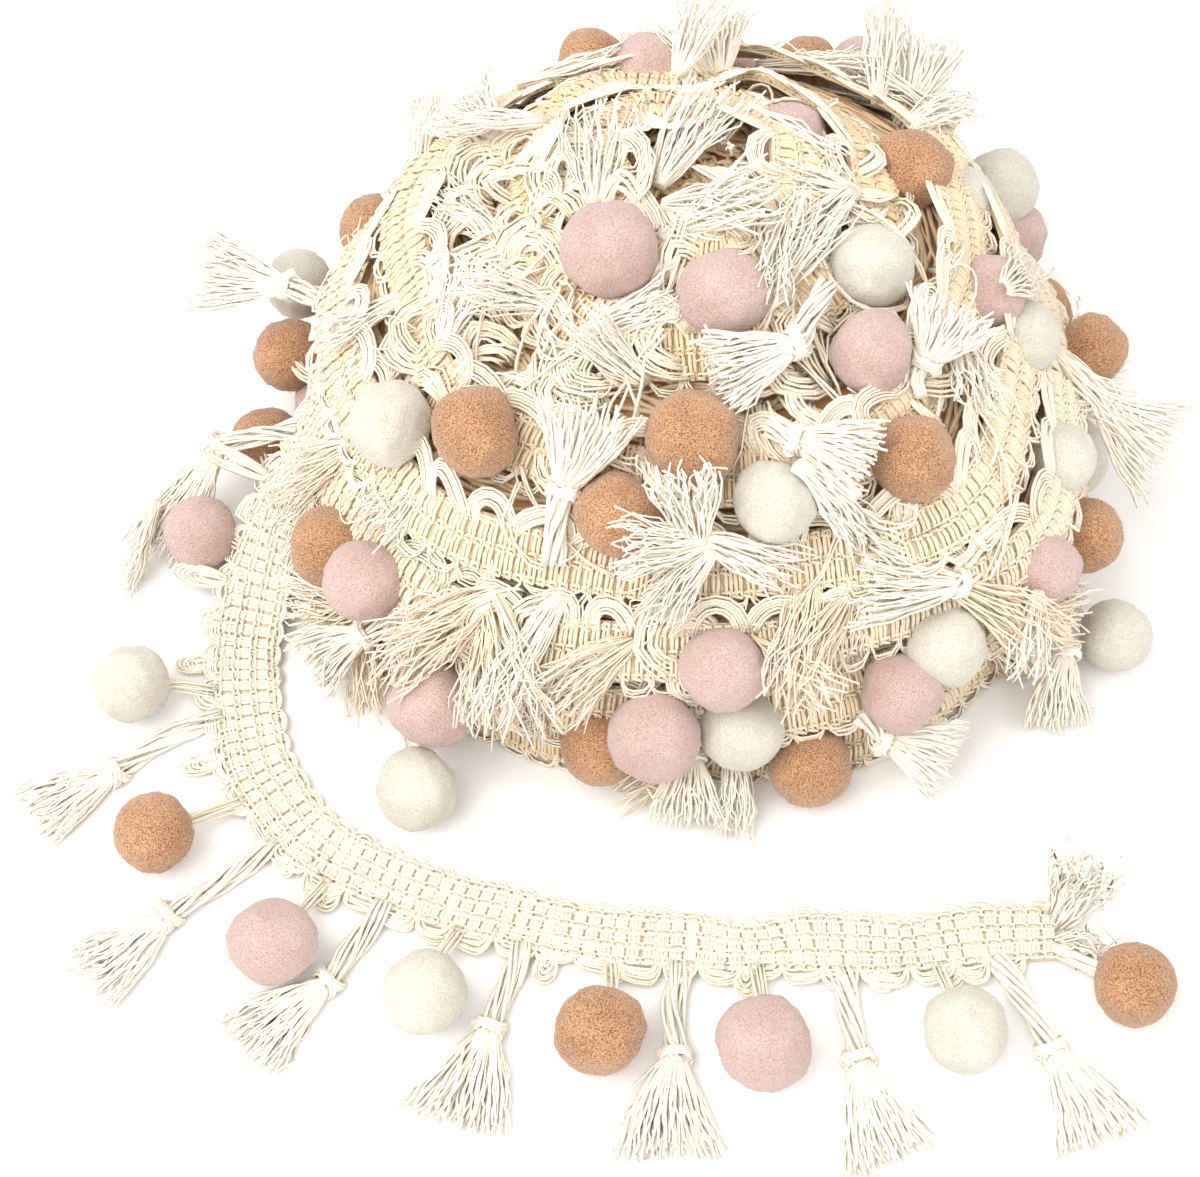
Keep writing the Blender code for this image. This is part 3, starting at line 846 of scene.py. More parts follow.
def chains(skein, band, rows, points, radius, warmth_and_shade, wales=WALES):
    """The lengthwise stitches: one link over each group of crosswise yarns."""
    pitch = band.length / rows
    at = (np.arange(rows) + 0.5) * pitch
    for share in wales:
        s = at[:, None] + CHAIN_LINK[None, :, 0] * pitch * 1.12
        s = s + chance.normal(size=(rows, 1)) * 0.12
        v = band.width_at(at)[:, None] * share + CHAIN_LINK[None, :, 1] * 2.4
        h = CHAIN_LINK[None, :, 2] + chance.normal(size=(rows, 1)) * 0.08
        links = through(band.place(s, v, h), points)
        skein.lay(links, radius, 3, warmth_and_shade)


def picots(skein, band, pitch, strands, points, radius, warmth_and_shade, side=-1.0):
    """The scalloped edge: small arches of yarn from wale to wale."""
    count = max(2, round(band.length / pitch))
    at = (np.arange(count) + 0.5) * band.length / count
    half = pitch * 0.52
    for k in range(strands):
        size = 1 - 0.27 * k
        edge = band.width_at(at)[:, None] / 2
        s = at[:, None] + np.array([-1, -0.85, 0, 0.85, 1]) * half * size
        reach = np.array([-1.1, 0.5, 1.3, 0.5, -1.1]) * size
        depth = chance.uniform(0.8, 1.25, (count, 1))
        v = side * (edge + reach * depth)
        h = np.array([0.1, 0.5, 0.8, 0.5, 0.1]) + chance.normal(size=(count, 1)) * 0.15
        skein.lay(through(band.place(s, v, h), points), radius, 3, warmth_and_shade)


# %% [markdown]
# ## Heading of the loose end
# The loose end leaves the heap on edge, lies down and runs round to its cut end. A flat profile
# swept along a curve could follow that. A table of points with width and roll does the same and
# also lets the edge pucker. A thin cloth underneath, the back of the trim, closes the gaps between
# the yarns; its darker, golden colour is painted shade in those gaps.

# %% Loose heading
RUN = (  # x, y, z and width in mm, and roll in degrees, at points along the loose end
    (-63.8, 50.3, 43, 14.0, 34),
    (-70.8, 41.3, 35, 15.0, 32),
    (-75.8, 34.3, 28, 15.5, 30),
    (-80.8, 28.3, 20, 16.0, 26),
    (-84.8, 19.3, 12, 17.0, 20),
    (-87.8, 9.3, 5, 16.0, 10),
    (-89.3, -0.7, 1.5, 14.5, 2),
    (-88.8, -11.7, 1, 14.5, 0),
    (-86.8, -23.7, 1, 15.0, 0),
    (-83.8, -34.7, 1, 15.0, 0),
    (-77.8, -44.7, 1, 14.5, 0),
    (-70.8, -53.7, 1, 14.5, 0),
    (-59.8, -60.7, 1, 13.5, 0),
    (-40.8, -68.7, 1, 13.5, 0),
    (-20.8, -74.7, 1, 13.0, 0),
    (-3.8, -78.2, 1, 12.5, 0),
    (14.2, -79.7, 1, 12.5, 0),
    (29.2, -81.2, 1, 10.5, 0),
    (43.2, -80.2, 1, 14.0, 0),
    (57.2, -80.7, 1, 13.5, 0),
    (66.2, -80.7, 1, 11.5, 0),
    (82.2, -78.2, 1, 13.5, 0),
    (98.2, -77.7, 1, 12.0, 0),
)
RUN_SAMPLES = 500
HEADING_THICKNESS = 2.0
LOOP_REACH = 5.2
BED = 0.9  # how high above the surface the cloth's middle lies where it is flat


def run_band():
    table = np.array(RUN)
    line = through(table[:, :3], RUN_SAMPLES)
    t = np.linspace(0, len(table) - 1, RUN_SAMPLES)
    width = np.interp(t, np.arange(len(table)), table[:, 3])
    roll = np.radians(np.interp(t, np.arange(len(table)), table[:, 4]))
    along = unit(np.gradient(line, axis=0))
    level = unit(np.cross(along, (0, 0, 1.0)))
    upright = np.cross(level, along)
    across = level * np.cos(roll)[:, None] - upright * np.sin(roll)[:, None]
    normal = np.cross(across, along)
    normal *= np.sign(normal[:, 2:])
    lift = HEADING_THICKNESS / 2 * np.abs(normal[:, 2]) + (width / 2 + LOOP_REACH) * np.abs(across[:, 2])
    line[:, 2] = np.maximum(line[:, 2], np.where(roll > 0.001, lift, BED))
    s = np.linspace(0, 1, RUN_SAMPLES)
    pucker = np.sin(61 * s + 1.0) + 0.8 * np.sin(103 * s) + 0.6 * np.sin(171 * s + 2.0)
    line[:, 2] += 0.32 * np.maximum(pucker, 0)
    return Band(line, across, normal, width + 0.22 * pucker)


def ground_cloth(name, band, finish, nodes=(), depth=0.0, thickness=0.5, share=0.5, steps=160):
    """The thin ground that a band's yarns lie on, as one closed sheet."""
    s = np.linspace(0, band.length, steps)
    half = band.width_at(s) * share
    rows = [
        band.place(s, -half, depth),
        band.place(s, half, depth),
        band.place(s, half, depth - thickness),
        band.place(s, -half, depth - thickness),
    ]
    points = np.stack(rows, 1).reshape(-1, 3) * MM
    points[:, 2] = np.maximum(points[:, 2], 0.0001)
    made = bpy.data.meshes.new(name)
    made.from_pydata([tuple(p) for p in points], [], ring_faces(steps, len(rows)))
    made.update()
    add_map(made, "ply", np.zeros(len(made.loops) * 2))
    # Painted shade: the ground gets a fixed golden tint for the gaps between the yarns on it.
    add_values(made, np.full(len(points), 0.5), np.full(len(points), 0.7))
    return add_piece(made, finish, nodes)


LOOSE = run_band()
LOOSE_GROUND = ground_cloth("heading_ground", LOOSE, GROUND_AND_SHADE_COTTON, ["loose_heading"])
heading = Skein()
loose_rows = weft_rows(
    heading, LOOSE, pitch=3.2, strands=3, steps=17, sides=4, radius=0.56, warmth_and_shade=0.0
)
chains(heading, LOOSE, loose_rows, points=10, radius=0.54, warmth_and_shade=0.0)
picots(heading, LOOSE, pitch=6.6, strands=3, points=9, radius=0.5, warmth_and_shade=0.0)
LOOSE_YARNS = heading.piece("heading_yarns", HEADING_COTTON)
print("loose end:", round(LOOSE.length), "mm,", loose_rows, "rows")

# %% [markdown]
# ## Loops and swags of the lower edge
# Where the hangers come off, the yarn leaves the heading in groups of strands that swing from
# hanger to hanger as swags, and now and then stand out as a fat teardrop loop. They lie side by
# side like the lanes of a track, so each strand is the same curve a little further out.


# %% Edge yarns
SQUARE_SWAG = ((-1.0, -0.72, 0.0, 0.72, 1.0), (-0.9, 0.62, 1.0, 0.62, -0.9))


def swags(skein, band, starts, ends, strands, depth, points, radius, height=0.7, side=1.0, gap=0.72):
    """Strands that swing from one place along an edge to the next."""
    starts, ends = np.asarray(starts, float), np.asarray(ends, float)
    count = len(starts)
    depth = np.broadcast_to(depth, count)[:, None]
    reach = (ends - starts)[:, None]
    middle = (starts + ends)[:, None] / 2
    lean = chance.uniform(-0.22, 0.22, (count, 1))
    for k in range(strands):
        inner = gap * (strands - 1 - k)
        share = np.maximum(depth - inner, 0.3)
        # Strands with no room left below the edge draw in behind it.
        no_room = share < 0.31
        inset = 0.5 - 0.035 * (strands - 1 - k)
        s = middle + np.array(SQUARE_SWAG[0]) * reach * inset
        s[:, 2] += (lean * reach)[:, 0]
        s = s + chance.normal(size=(count, 5)) * 0.25
        edge = band.width_at(middle) / 2
        v = side * (edge + np.array(SQUARE_SWAG[1]) * share - inner * no_room)
        h = height * np.array([0.5, 1.0, 1.0, 1.0, 0.5]) + chance.normal(size=(count, 5)) * 0.3
        skein.lay(through(band.place(s, v, h), points), radius, 3, chance.uniform(0, 0.12))


def teardrop(skein, root, tip, half, facing, strands=5, points=18, radius=0.42, warmth_and_shade=0.0):
    """A closed loop of strands that stands out from root to tip."""
    root, tip = np.asarray(root, float), np.asarray(tip, float)
    axis = tip - root
    side = unit(np.cross(axis, facing)) * half
    up = unit(np.asarray(facing, float))
    half_outline = [(0, -0.25), (0.22, -0.75), (0.62, -1.0), (0.92, -0.62)]
    other_half = [(0.92, 0.62), (0.62, 1.0), (0.22, 0.75), (0, 0.25)]
    outline = np.array([*half_outline, (1.0, 0), *other_half])
    loops = []
    for k in range(strands):
        size = 1 - 0.16 * k
        reach = 1 - 0.10 * k
        line = root + outline[:, :1] * axis * reach + outline[:, 1:] * side * size
        line = line + up * chance.normal(0.0, 0.3, (len(outline), 1)) + up * 0.25 * (k % 2)
        loops.append(through(line, points))
    skein.lay(np.array(loops), radius, 3, warmth_and_shade)


LOOP_TIPS = (  # where the fat loops of the loose end reach to
    (-101.8, 41.3, 26.0),
    (-107.8, 16.3, 8.0),
    (-100.8, 5.3, 3.0),
    (-105.8, -6.7, 1.4),
    (-101.8, -35.7, 1.4),
    (-76.8, -62.7, 1.4),
    (-66.8, -71.7, 1.4),
    (-48.8, -76.7, 1.4),
    (-16.8, -89.7, 1.4),
    (-0.8, -89.7, 1.4),
    (28.2, -92.7, 1.4),
    (58.2, -91.7, 1.4),
    (74.2, -90.7, 1.4),
)
SWAG_PITCH = 9.0
edge_yarns = Skein()
post_count = int((LOOSE.length - 2) // SWAG_PITCH) + 1
posts = np.arange(0.0, LOOSE.length - 2, SWAG_PITCH) + chance.uniform(-1.2, 1.2, post_count)
depths = chance.uniform(1.8, 5.2, len(posts) - 1)
swags(
    edge_yarns, LOOSE, posts[:-1], posts[1:] + 0.8, strands=6, depth=depths, points=11, radius=0.40
)
for tip in LOOP_TIPS:
    s = LOOSE.nearest(tip)
    root = LOOSE.place(s, LOOSE.width_at(s) / 2 - 0.6, 0.4)
    facing = LOOSE.read(LOOSE.normal, s)
    teardrop(edge_yarns, root, tip, 2.6, facing, strands=6)

# %% [markdown]
# ## Tassels
# A tassel is a cord of thirteen slack strands, tied once on itself, whose ends fan out below the
# knot. Its strands start within the cord's small circle, squeeze through the knot and spread out
# flat, so the cord and the fan are the same helper with different widths along the way.

# %% Tassel
TASSEL_COLUMNS = ("start", "knot", "end", "fan")
CORD_STRANDS, CORD_RADIUS = 13, 0.58
FAN_FILLING = 17
FAN_RADIUS = 0.41
BRUSH_RADIUS = 0.32
KNOT_REACH = 2.9


def knot(skein, place, along, facing, size=1.0, points=16, warmth_and_shade=0.0):
    """Two slanting wraps of strands round a cord and the small bight that pokes out beside."""
    along = unit(np.asarray(along, float))
    side = unit(np.cross(along, facing))
    up = np.cross(side, along)
    turn = np.linspace(-0.35, 1.15, points) * 2 * math.pi
    for lift, tilt, start in ((-1.2, 0.9, 0.3), (1.0, -0.8, 2.2)):
        around = turn + start
        ring = (
            side * np.cos(around)[:, None] * KNOT_REACH * size
            + up * np.sin(around)[:, None] * KNOT_REACH * 0.85 * size
            + along * (lift * size + tilt * 1.6 * size * np.sin(around))[:, None]
        )
        skein.lay(bundle(place + ring, 5, 0.95 * size, 0.75 * size, along), 0.5 * size, 3, warmth_and_shade)
    bight = through(
        np.array(
            [
                place + up * 0.5,
                place + side * 2.6 * size + along * 0.6,
                place + side * 3.9 * size - along * 0.6 + up * 0.3,
                place + side * 2.4 * size - along * 1.4,
                place - up * 0.3,
            ]
        ),
        9,
    )
    skein.lay(bundle(bight, 3, 0.6, 0.6, facing), 0.45 * size, 3, warmth_and_shade)


CORD_TOP, CORD_FOOT = 2.6, 2.3  # half width of a tassel's cord, at the edge and at the knot


def tassel(skein, start, knot_at, end, fan, facing, strands=64, steps=11, cord_steps=12, warmth_and_shade=0.0):
    start, knot_at, end = (np.asarray(p, float) for p in (start, knot_at, end))
    facing = unit(np.asarray(facing, float))
    slack = unit(np.cross(knot_at - start, facing)) * chance.uniform(-1.5, 1.5)
    middle = (start + knot_at) / 2 + slack
    towards = unit(end - knot_at)
    cord_line = through(np.array([start, middle, knot_at, knot_at + towards * 1.5]), cord_steps)
    narrowing = np.linspace(CORD_TOP, CORD_FOOT, cord_steps)
    turns = np.linalg.norm(knot_at - start) / 32 * chance.choice([-1, 1])
    cord = bundle(cord_line, CORD_STRANDS, narrowing, narrowing * 0.85, facing, turns, 0.4)
    skein.lay(cord, CORD_RADIUS, 3, warmth_and_shade)
    knot(skein, knot_at, towards, facing, warmth_and_shade=warmth_and_shade)
    t = np.linspace(0, 1, steps)
    bend = unit(np.cross(towards, facing)) * chance.uniform(-1.8, 1.8)
    line = knot_at + (end - knot_at) * t[:, None] + bend * (np.sin(math.pi * t * 0.7))[:, None]
    wide = 1.7 + (fan - 1.7) * t**0.9
    thick = 1.7 + 0.7 * np.sin(math.pi * np.minimum(t * 0.9, 1))
    # A few fat strands fill the fan's middle, under the fine ones, coloured a little warmer as painted
    # shade.
    fat = np.maximum(0.5, 1.25 * wide / FAN_FILLING)
    filling = fanned(line[:-1] + facing * 0.3, FAN_FILLING, wide[:-1] * 0.85, thick[:-1] * 0.3, facing, 0.2)
    skein.lay(filling, fat[:-1], 3, warmth_and_shade + 0.1, 0.5)
    spray = fanned(line, strands, wide, thick, facing, 0.5)
    # Each strand was cut a little shorter or longer than the next.
    cut = np.clip(chance.normal(0.97, 0.06, (strands, 1, 1)), 0.78, 1.1)
    spray = spray[:, :1] + (spray - spray[:, :1]) * cut
    stray = chance.random(strands) < 0.07
    spray[stray] += wobble(int(stray.sum()), steps, 2.2, 1.2)
    # Painted shade: the strands are coloured warmer towards the knot, where they crowd together.
    warm_and_shaded = warmth_and_shade + 0.2 * (1 - t) ** 2
    skein.lay(spray, FAN_RADIUS, 3, np.broadcast_to(warm_and_shaded, (strands, steps)), 0.8)


# %% [markdown]
# ## Tassels of the loose end
# Eight tassels hang between the pompoms. No two lie alike, so each has a row of its own: where it
# starts, its knot, the end of its fan, and half the fan's width, in mm.

# %% Loose tassels
LOOSE_TASSELS = (
    ((-80.8, 46.3, 29.2), (-97.8, 46.3, 18.2), (-113.8, 25.3, 4.2), 8),
    ((-99.3, -21.7, 2.2), (-116.8, -36.7, 2.2), (-134.8, -48.7, 2.2), 9.5),
    ((-80.8, -56.7, 2.2), (-100.8, -73.7, 2.2), (-117.8, -87.7, 2.2), 10),
    ((-53.8, -76.2, 2.2), (-63.8, -89.7, 2.2), (-80.8, -105.7, 2.2), 10),
    ((-21.8, -84.7, 2.2), (-27.8, -100.7, 2.2), (-34.8, -122.7, 2.2), 13),
    ((14.2, -88.7, 2.2), (12.7, -106.7, 2.2), (12.2, -129.7, 2.2), 13.5),
    ((49.2, -89.7, 2.2), (52.2, -107.7, 2.2), (59.2, -130.7, 2.2), 11),
    ((84.2, -88.7, 2.2), (94.2, -105.7, 2.2), (103.2, -126.7, 2.2), 12),
)
UPWARDS = (0.0, 0.0, 1.0)
TOWARDS_FRONT = (0.0, -0.56, 0.83)
loose_tassels = Skein()
for row in LOOSE_TASSELS:
    item = dict(zip(TASSEL_COLUMNS, row))
    s = LOOSE.nearest(item["start"])
    root = LOOSE.place(s, LOOSE.width_at(s) / 2 - 1.0, 0.5)
    lies = item["end"][2] < 3
    tassel(
        loose_tassels,
        root,
        item["knot"],
        item["end"],
        item["fan"],
        UPWARDS if lies else TOWARDS_FRONT,
        strands=102,
        steps=12,
    )
loose_nodes = [n for n in frame["nodes"] if n.startswith("loose_tassel")]
LOOSE_TASSEL_YARNS = loose_tassels.piece("loose_tassels", TASSEL_COTTON, loose_nodes)


# %% [markdown]
# ## Cords of the pompoms
# Each pompom hangs by a few strands that vanish into its middle. One thick cord would be simpler
# but would look like wire, so a small bundle of the edge's own yarn is used.

# %% Cords of the loose pompoms
def pompom_cord(skein, root, centre, facing, strands=7, warmth_and_shade=0.0):
    """A short group of strands from the edge into the middle of a pompom."""
    root, centre = np.asarray(root, float), np.asarray(centre, float)
    sag = unit(np.cross(centre - root, facing)) * chance.uniform(-1.5, 1.5)
    line = through(np.array([root, (root + centre) / 2 + sag, centre]), 9)
    skein.lay(bundle(line, strands, 1.7, 1.2, facing, 0.2, 0.2), 0.42, 3, warmth_and_shade)


for cad_node in sorted(n for n in frame["nodes"] if n.startswith("loose_pompom")):
    low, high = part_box(cad_node)
    middle = np.array((low + high) / 2 / MM)
    s = LOOSE.nearest(middle)
    root = LOOSE.place(s, LOOSE.width_at(s) / 2 - 0.8, 0.4)
    pompom_cord(edge_yarns, root, middle, UPWARDS)
LOOSE_EDGE_YARNS = edge_yarns.piece("edge_loops", LOOP_COTTON, ["loop_edging"])


# %% [markdown]
# The trim was cut with scissors, so its yarns have sprung apart at the end: most stand up in a
# tuft, and a few still run on to the last pompom.

# %% Cut end
cut_end = Skein()
END_TUFTS = (  # root, tip, half width of the tuft, strands
    ((98.0, -73.0, 2.0), (103.0, -66.0, 17.0), 6.0, 46),
    ((99.0, -76.0, 2.0), (110.0, -66.0, 12.0), 5.0, 30),
    ((98.0, -80.0, 1.5), (109.0, -84.0, 4.0), 5.0, 26),
)
for root, tip, half, count in END_TUFTS:
    t = np.linspace(0, 1, 9)
    line = through(np.array([root, (np.array(root) + tip) / 2 + (0, 0, 1.5), tip]), 9)
    spray = bundle(line, count, 1.8 + half * t**0.8, 1.5 + 0.5 * half * t, (0, -0.6, 0.8), 0.0, 1.6)
    cut = np.clip(chance.normal(0.9, 0.13, (count, 1, 1)), 0.5, 1.15)
    cut_end.lay(spray[:, :1] + (spray - spray[:, :1]) * cut, 0.36, 3, 0.05, 0.8)
last_pompom = max(POMPOMS, key=lambda p: p[0][0] - p[0][1])[0]
print("last pompom at", last_pompom.round(1))
pompom_cord(cut_end, (97.0, -81.0, 1.6), last_pompom, UPWARDS, strands=9)
CUT_END = cut_end.piece("cut_end", TASSEL_COTTON)

# %% [markdown]
# ## The heap
# The heap is the same trim wound round and round and sinking into itself. Its CAD solid keeps the
# main turns. Here each turn becomes a band again, standing on its lower edge and leaning back, so
# its ribs show, with long swags along its top, loops along its bottom, and hangers on both. A
# body inside, coloured dark as painted shade for the yarns in the depth that no light reaches,
# closes every gap.

# %% Turns of the heap
TURN_COLUMNS = ("height", "x", "y", "half_width", "half_depth", "slope")
TURNS = (
    (9, 20.2, 44.3, 89, 79, 0),
    (27, 20.2, 46.3, 90, 81, 2),
    (45, 18.2, 49.3, 87, 79, 3.5),
    (61, 16.2, 53.3, 79, 72, 4),
    (75, 16.2, 58.3, 64, 61, 3.5),
    (87, 17.2, 62.3, 42, 42, 2),
)
OVAL_POWER = 2.3  # 2 is a true oval, and more is squarer
TURN_WAVES = ((3, 1.6, 0.4), (5, 1.3, 1.9), (8, 0.9, 4.1))
TURN_WAVE_STEP = 1.3
TURN_SAMPLES = 420


def squared(c, s):
    """How far an oval with squarer corners stands outside a true one."""
    return (np.abs(c) ** OVAL_POWER + np.abs(s) ** OVAL_POWER) ** (-1 / OVAL_POWER)


def turn_oval(turn, number, inwards=0.0, lift=0.0, samples=TURN_SAMPLES):
    """The crest line of one turn, closed, in mm."""
    angle = np.linspace(0, 2 * math.pi, samples)
    c, s = np.cos(angle), np.sin(angle)
    grow = squared(c, s)
    wave = sum(
        high * np.sin(count * angle + start + number * TURN_WAVE_STEP)
        for count, high, start in TURN_WAVES
    )
    x = turn["x"] + (turn["half_width"] + wave - inwards) * c * grow
    y = turn["y"] + (turn["half_depth"] + wave - inwards) * s * grow
    z = turn["height"] + turn["slope"] * (c + s) + lift + 0 * x
    return np.stack([x, y, z], 1)


def outwards_of(line):
    along = unit(np.gradient(line, axis=0))
    out = unit(np.cross(along, (0, 0, 1.0)))
    middle = line.mean(0)
    return out * np.sign(((line - middle) * out).sum(1).mean())


def leaning_band(line, tilt, width):
    """A band on a line, its lower edge turned out and its face tilt degrees from level."""
    out = outwards_of(line)
    tilt = np.radians(np.broadcast_to(np.asarray(tilt, float), len(line)))[:, None]
    up = np.array([0, 0, 1.0])
    across = out * np.cos(tilt) - up * np.sin(tilt)
    normal = out * np.sin(tilt) + up * np.cos(tilt)
    return Band(line, across, normal, width)


turns = [dict(zip(TURN_COLUMNS, row)) for row in TURNS]

# %% [markdown]
# ## Skin of the heap
# Everything that is loose on the heap starts somewhere on its surface. `skin` gives that surface
# from two numbers: an angle round the heap and a level, which is 0 at the lowest turn, 5 at the
# highest and 7 at the middle of the top.

# %% Skin
CROWN = (
    (96, 18.2, 63.3, 19, 18, 0),
    (99, 18.2, 63.3, 0.5, 0.5, 0),
)
SKIN_TABLE = np.array(TURNS + CROWN, float)
BODY_MIDDLE = np.array([17.0, 52.0, 20.0])


def skin(angle, level):
    angle, level = np.broadcast_arrays(np.asarray(angle, float), np.asarray(level, float))
    steps = np.arange(len(SKIN_TABLE))
    z, x, y, half_width, half_depth, slope = (np.interp(level, steps, column) for column in SKIN_TABLE.T)
    c, s = np.cos(angle), np.sin(angle)
    grow = squared(c, s)
    start = level * TURN_WAVE_STEP
    wave = sum(high * np.sin(count * angle + begin + start) for count, high, begin in TURN_WAVES)
    wave = wave * np.clip(half_width / 40, 0, 1)
    x = x + (half_width + wave) * c * grow
    y = y + (half_depth + wave) * s * grow
    return np.stack([x, y, z + slope * (c + s)], -1)


def skin_frame(angle, level):
    """Place, outward normal, and directions round and up the heap."""
    here = skin(angle, level)
    round_it = unit(skin(np.asarray(angle) + 0.02, level) - here)
    up = unit(skin(angle, np.asarray(level) + 0.05) - here)
    out = unit(np.cross(round_it, up))
    flip = np.sign(((here - BODY_MIDDLE) * out).sum(-1, keepdims=True))
    return here, out * flip, round_it, up


def keep_in_room(strands):
    """Holds strands within the trim's own box, a little inside it."""
    low, high = (np.array(corner) / MM for corner in CAD_BOX)
    low, high = low - (5, 5, 0), high + (5, 5, 4)
    low[2] = 0.4
    return np.clip(strands, low, high)


# %% [markdown]
# ## More pompoms of the heap
# The part has room only for the pompoms that show best. Others are added here: twelve with rows
# of their own, and a draw round the back and sides. They are partly hidden, so they have fewer
# fibres. Nothing keeps these apart from each other, and some run into one another.

# %% More pompoms of the heap
MORE_POMPOMS = (
    ((61.2, 122.3, 70), "pink"),
    ((68.2, 76.3, 84), "tan"),
    ((55.2, 21.3, 84), "pink"),
    ((0.2, -10.7, 68), "tan"),
    ((94.2, 45.3, 61), "cream"),
    ((74.2, -22.7, 35), "cream"),
    ((64.2, -30.7, 28), "pink"),
    ((28.2, -37.7, 23), "cream"),
    ((23.2, -33.7, 42), "pink"),
    ((-3.8, -36.7, 15), "tan"),
    ((-57.8, -6.7, 37), "pink"),
    ((-66.8, 6.3, 32), "tan"),
)
COLOUR_TURN = ("cream", "tan", "pink")
MORE_RADIUS, MORE_FIBRES = 9.2, 600
BACK_RADIUS, BACK_FIBRES = 9.4, 300
for number, (centre, colour) in enumerate(MORE_POMPOMS):
    pompom(f"felt_more_{number + 1:02d}", centre, MORE_RADIUS, colour, fibres=MORE_FIBRES)
    POMPOMS.append((np.array(centre), MORE_RADIUS))


def drawn_pompoms(count, levels, angles, first):
    """Pompoms round the side that the hangers of the front don't reach."""
    angle = np.linspace(*angles, count) + chance.uniform(-0.12, 0.12, count)
    level = chance.permutation(np.linspace(*levels, count))
    here, normal, _, _ = skin_frame(angle, level)
    for k in range(count):
        centre = here[k] + normal[k] * chance.uniform(3, 7)
        centre[2] = max(centre[2], 10)
        name = f"felt_back_{first + k:02d}"
        pompom(name, centre, BACK_RADIUS, COLOUR_TURN[k % 3], fibres=BACK_FIBRES)
        POMPOMS.append((centre, BACK_RADIUS))


drawn_pompoms(13, (0.1, 3.0), (0.24 * math.pi, 0.76 * math.pi), 1)
drawn_pompoms(3, (0.1, 1.5), (0.05 * math.pi, 0.19 * math.pi), 14)
drawn_pompoms(3, (0.1, 1.5), (0.81 * math.pi, 0.92 * math.pi), 17)


def clear_of_pompoms(strands, skin_gap=0.8, deepest=1.7):
    """Leaves out strands that would run through a pompom, and eases off those that graze one."""
    strands = strands.copy()
    keep = np.ones(len(strands), bool)
    for centre, radius in POMPOMS:
        away = strands - centre
        gap = np.linalg.norm(away, axis=-1, keepdims=True)
        need = radius + skin_gap
        keep &= gap.min((1, 2)) > need - deepest
        strands = np.where(gap < need, centre + away / np.maximum(gap, 1e-6) * need, strands)
    return strands[keep]


# %% [markdown]
# ## Body inside the heap
# Inside the heap the turns press together and hardly any light gets in. Modelling them would spend
# triangles on what isn't seen, so a closed shell a little under the surface stands for them. Its
# dark golden-brown cotton is painted shade.

# %% Body inside the heap
INNER_DEPTH = 6.5
BODY_SIDES = 96
BODY_LEVELS = np.array([0.0, 0.25, 0.5, 1, 1.5, 2, 2.5, 3, 3.5, 4, 4.5, 5, 5.3, 5.7, 6.0, 6.4, 6.8])


def body_skin(levels):
    """Rings of the inner body, at these levels of the heap's skin."""
    angle = np.linspace(0, 2 * math.pi, BODY_SIDES + 1)[None, :-1]
    here, normal, _, _ = skin_frame(angle, levels[:, None])
    return here - normal * INNER_DEPTH


def heap_body(name, rings, finish, nodes):
    made = bpy.data.meshes.new(name)
    points = np.concatenate(rings) * MM
    made.from_pydata([tuple(p) for p in points], [], ring_faces(len(rings), len(rings[0])))
    made.shade_smooth()
    made.update()
    return add_piece(made, finish, nodes)


body_rings = [ring for ring in body_skin(BODY_LEVELS)]
body_rings[0][:, 2] = 1.0
heap_body("heap_inside", body_rings, CORE_SHADE_COTTON, ["wound_heap"])
print("inner body:", len(body_rings), "rings")

TOWARDS_EYE = unit(np.array([0.0, -math.cos(CAMERA_ELEVATION), math.sin(CAMERA_ELEVATION)]))


def hides_pompom(points, margin=1.0):
    """Which of these points (n x 3, mm) would lie over a pompom, seen from the camera's side."""
    hidden = np.zeros(len(points), bool)
    for centre, radius in POMPOMS:
        away = points - centre
        nearer = away @ TOWARDS_EYE
        beside = np.linalg.norm(away - nearer[:, None] * TOWARDS_EYE, axis=1)
        hidden |= (nearer > 0) & (beside < radius + margin)
    return hidden

# %% [markdown]
# ## Bands of the heap
# Each turn of the heap is a band with ribs, chains, waves above and loops below. The real trim is
# one spiral, but closed rings are easier to place and hide where they join. The seventh band has
# no turn of its own: it lies inside the top one.

# %% Bands of the heap
# The last column is a golden tint for each band's yarn, partly painted shade: least on the third turn, more
# on those above and below.
BAND_COLUMNS = ("name", "turn", "width", "tilt", "inwards", "lift", "warmth_and_shade")
BANDS = (  # width, inwards and lift in mm, and tilt in degrees from level
    ("turn_1", 0, 13.5, 68, 0.5, -1.0, 0.45),
    ("turn_2", 1, 13.5, 62, 0.5, 0.0, 0.30),
    ("turn_3", 2, 13.5, 55, 0.0, 0.0, 0.05),
    ("turn_4", 3, 13.5, 50, 0.0, 0.0, 0.25),
    ("turn_5", 4, 13.5, 44, 0.0, 0.0, 0.45),
    ("turn_6", 5, 13.0, 34, 2.0, 0.0, 0.65),
    ("turn_7", 5, 13.0, 24, 20.0, 9.0, 0.55),
)
HEAP_PITCH = 2.5
HEAP_WALES = (-0.42, 0.0, 0.42)  # pushed up edgeways, the ribs show in two rows
WAVE_SHAPE = ((-1.0, -0.86, -0.5, 0.0, 0.5, 0.86, 1.0), (0.0, 0.5, 0.88, 1.0, 0.88, 0.5, 0.0))


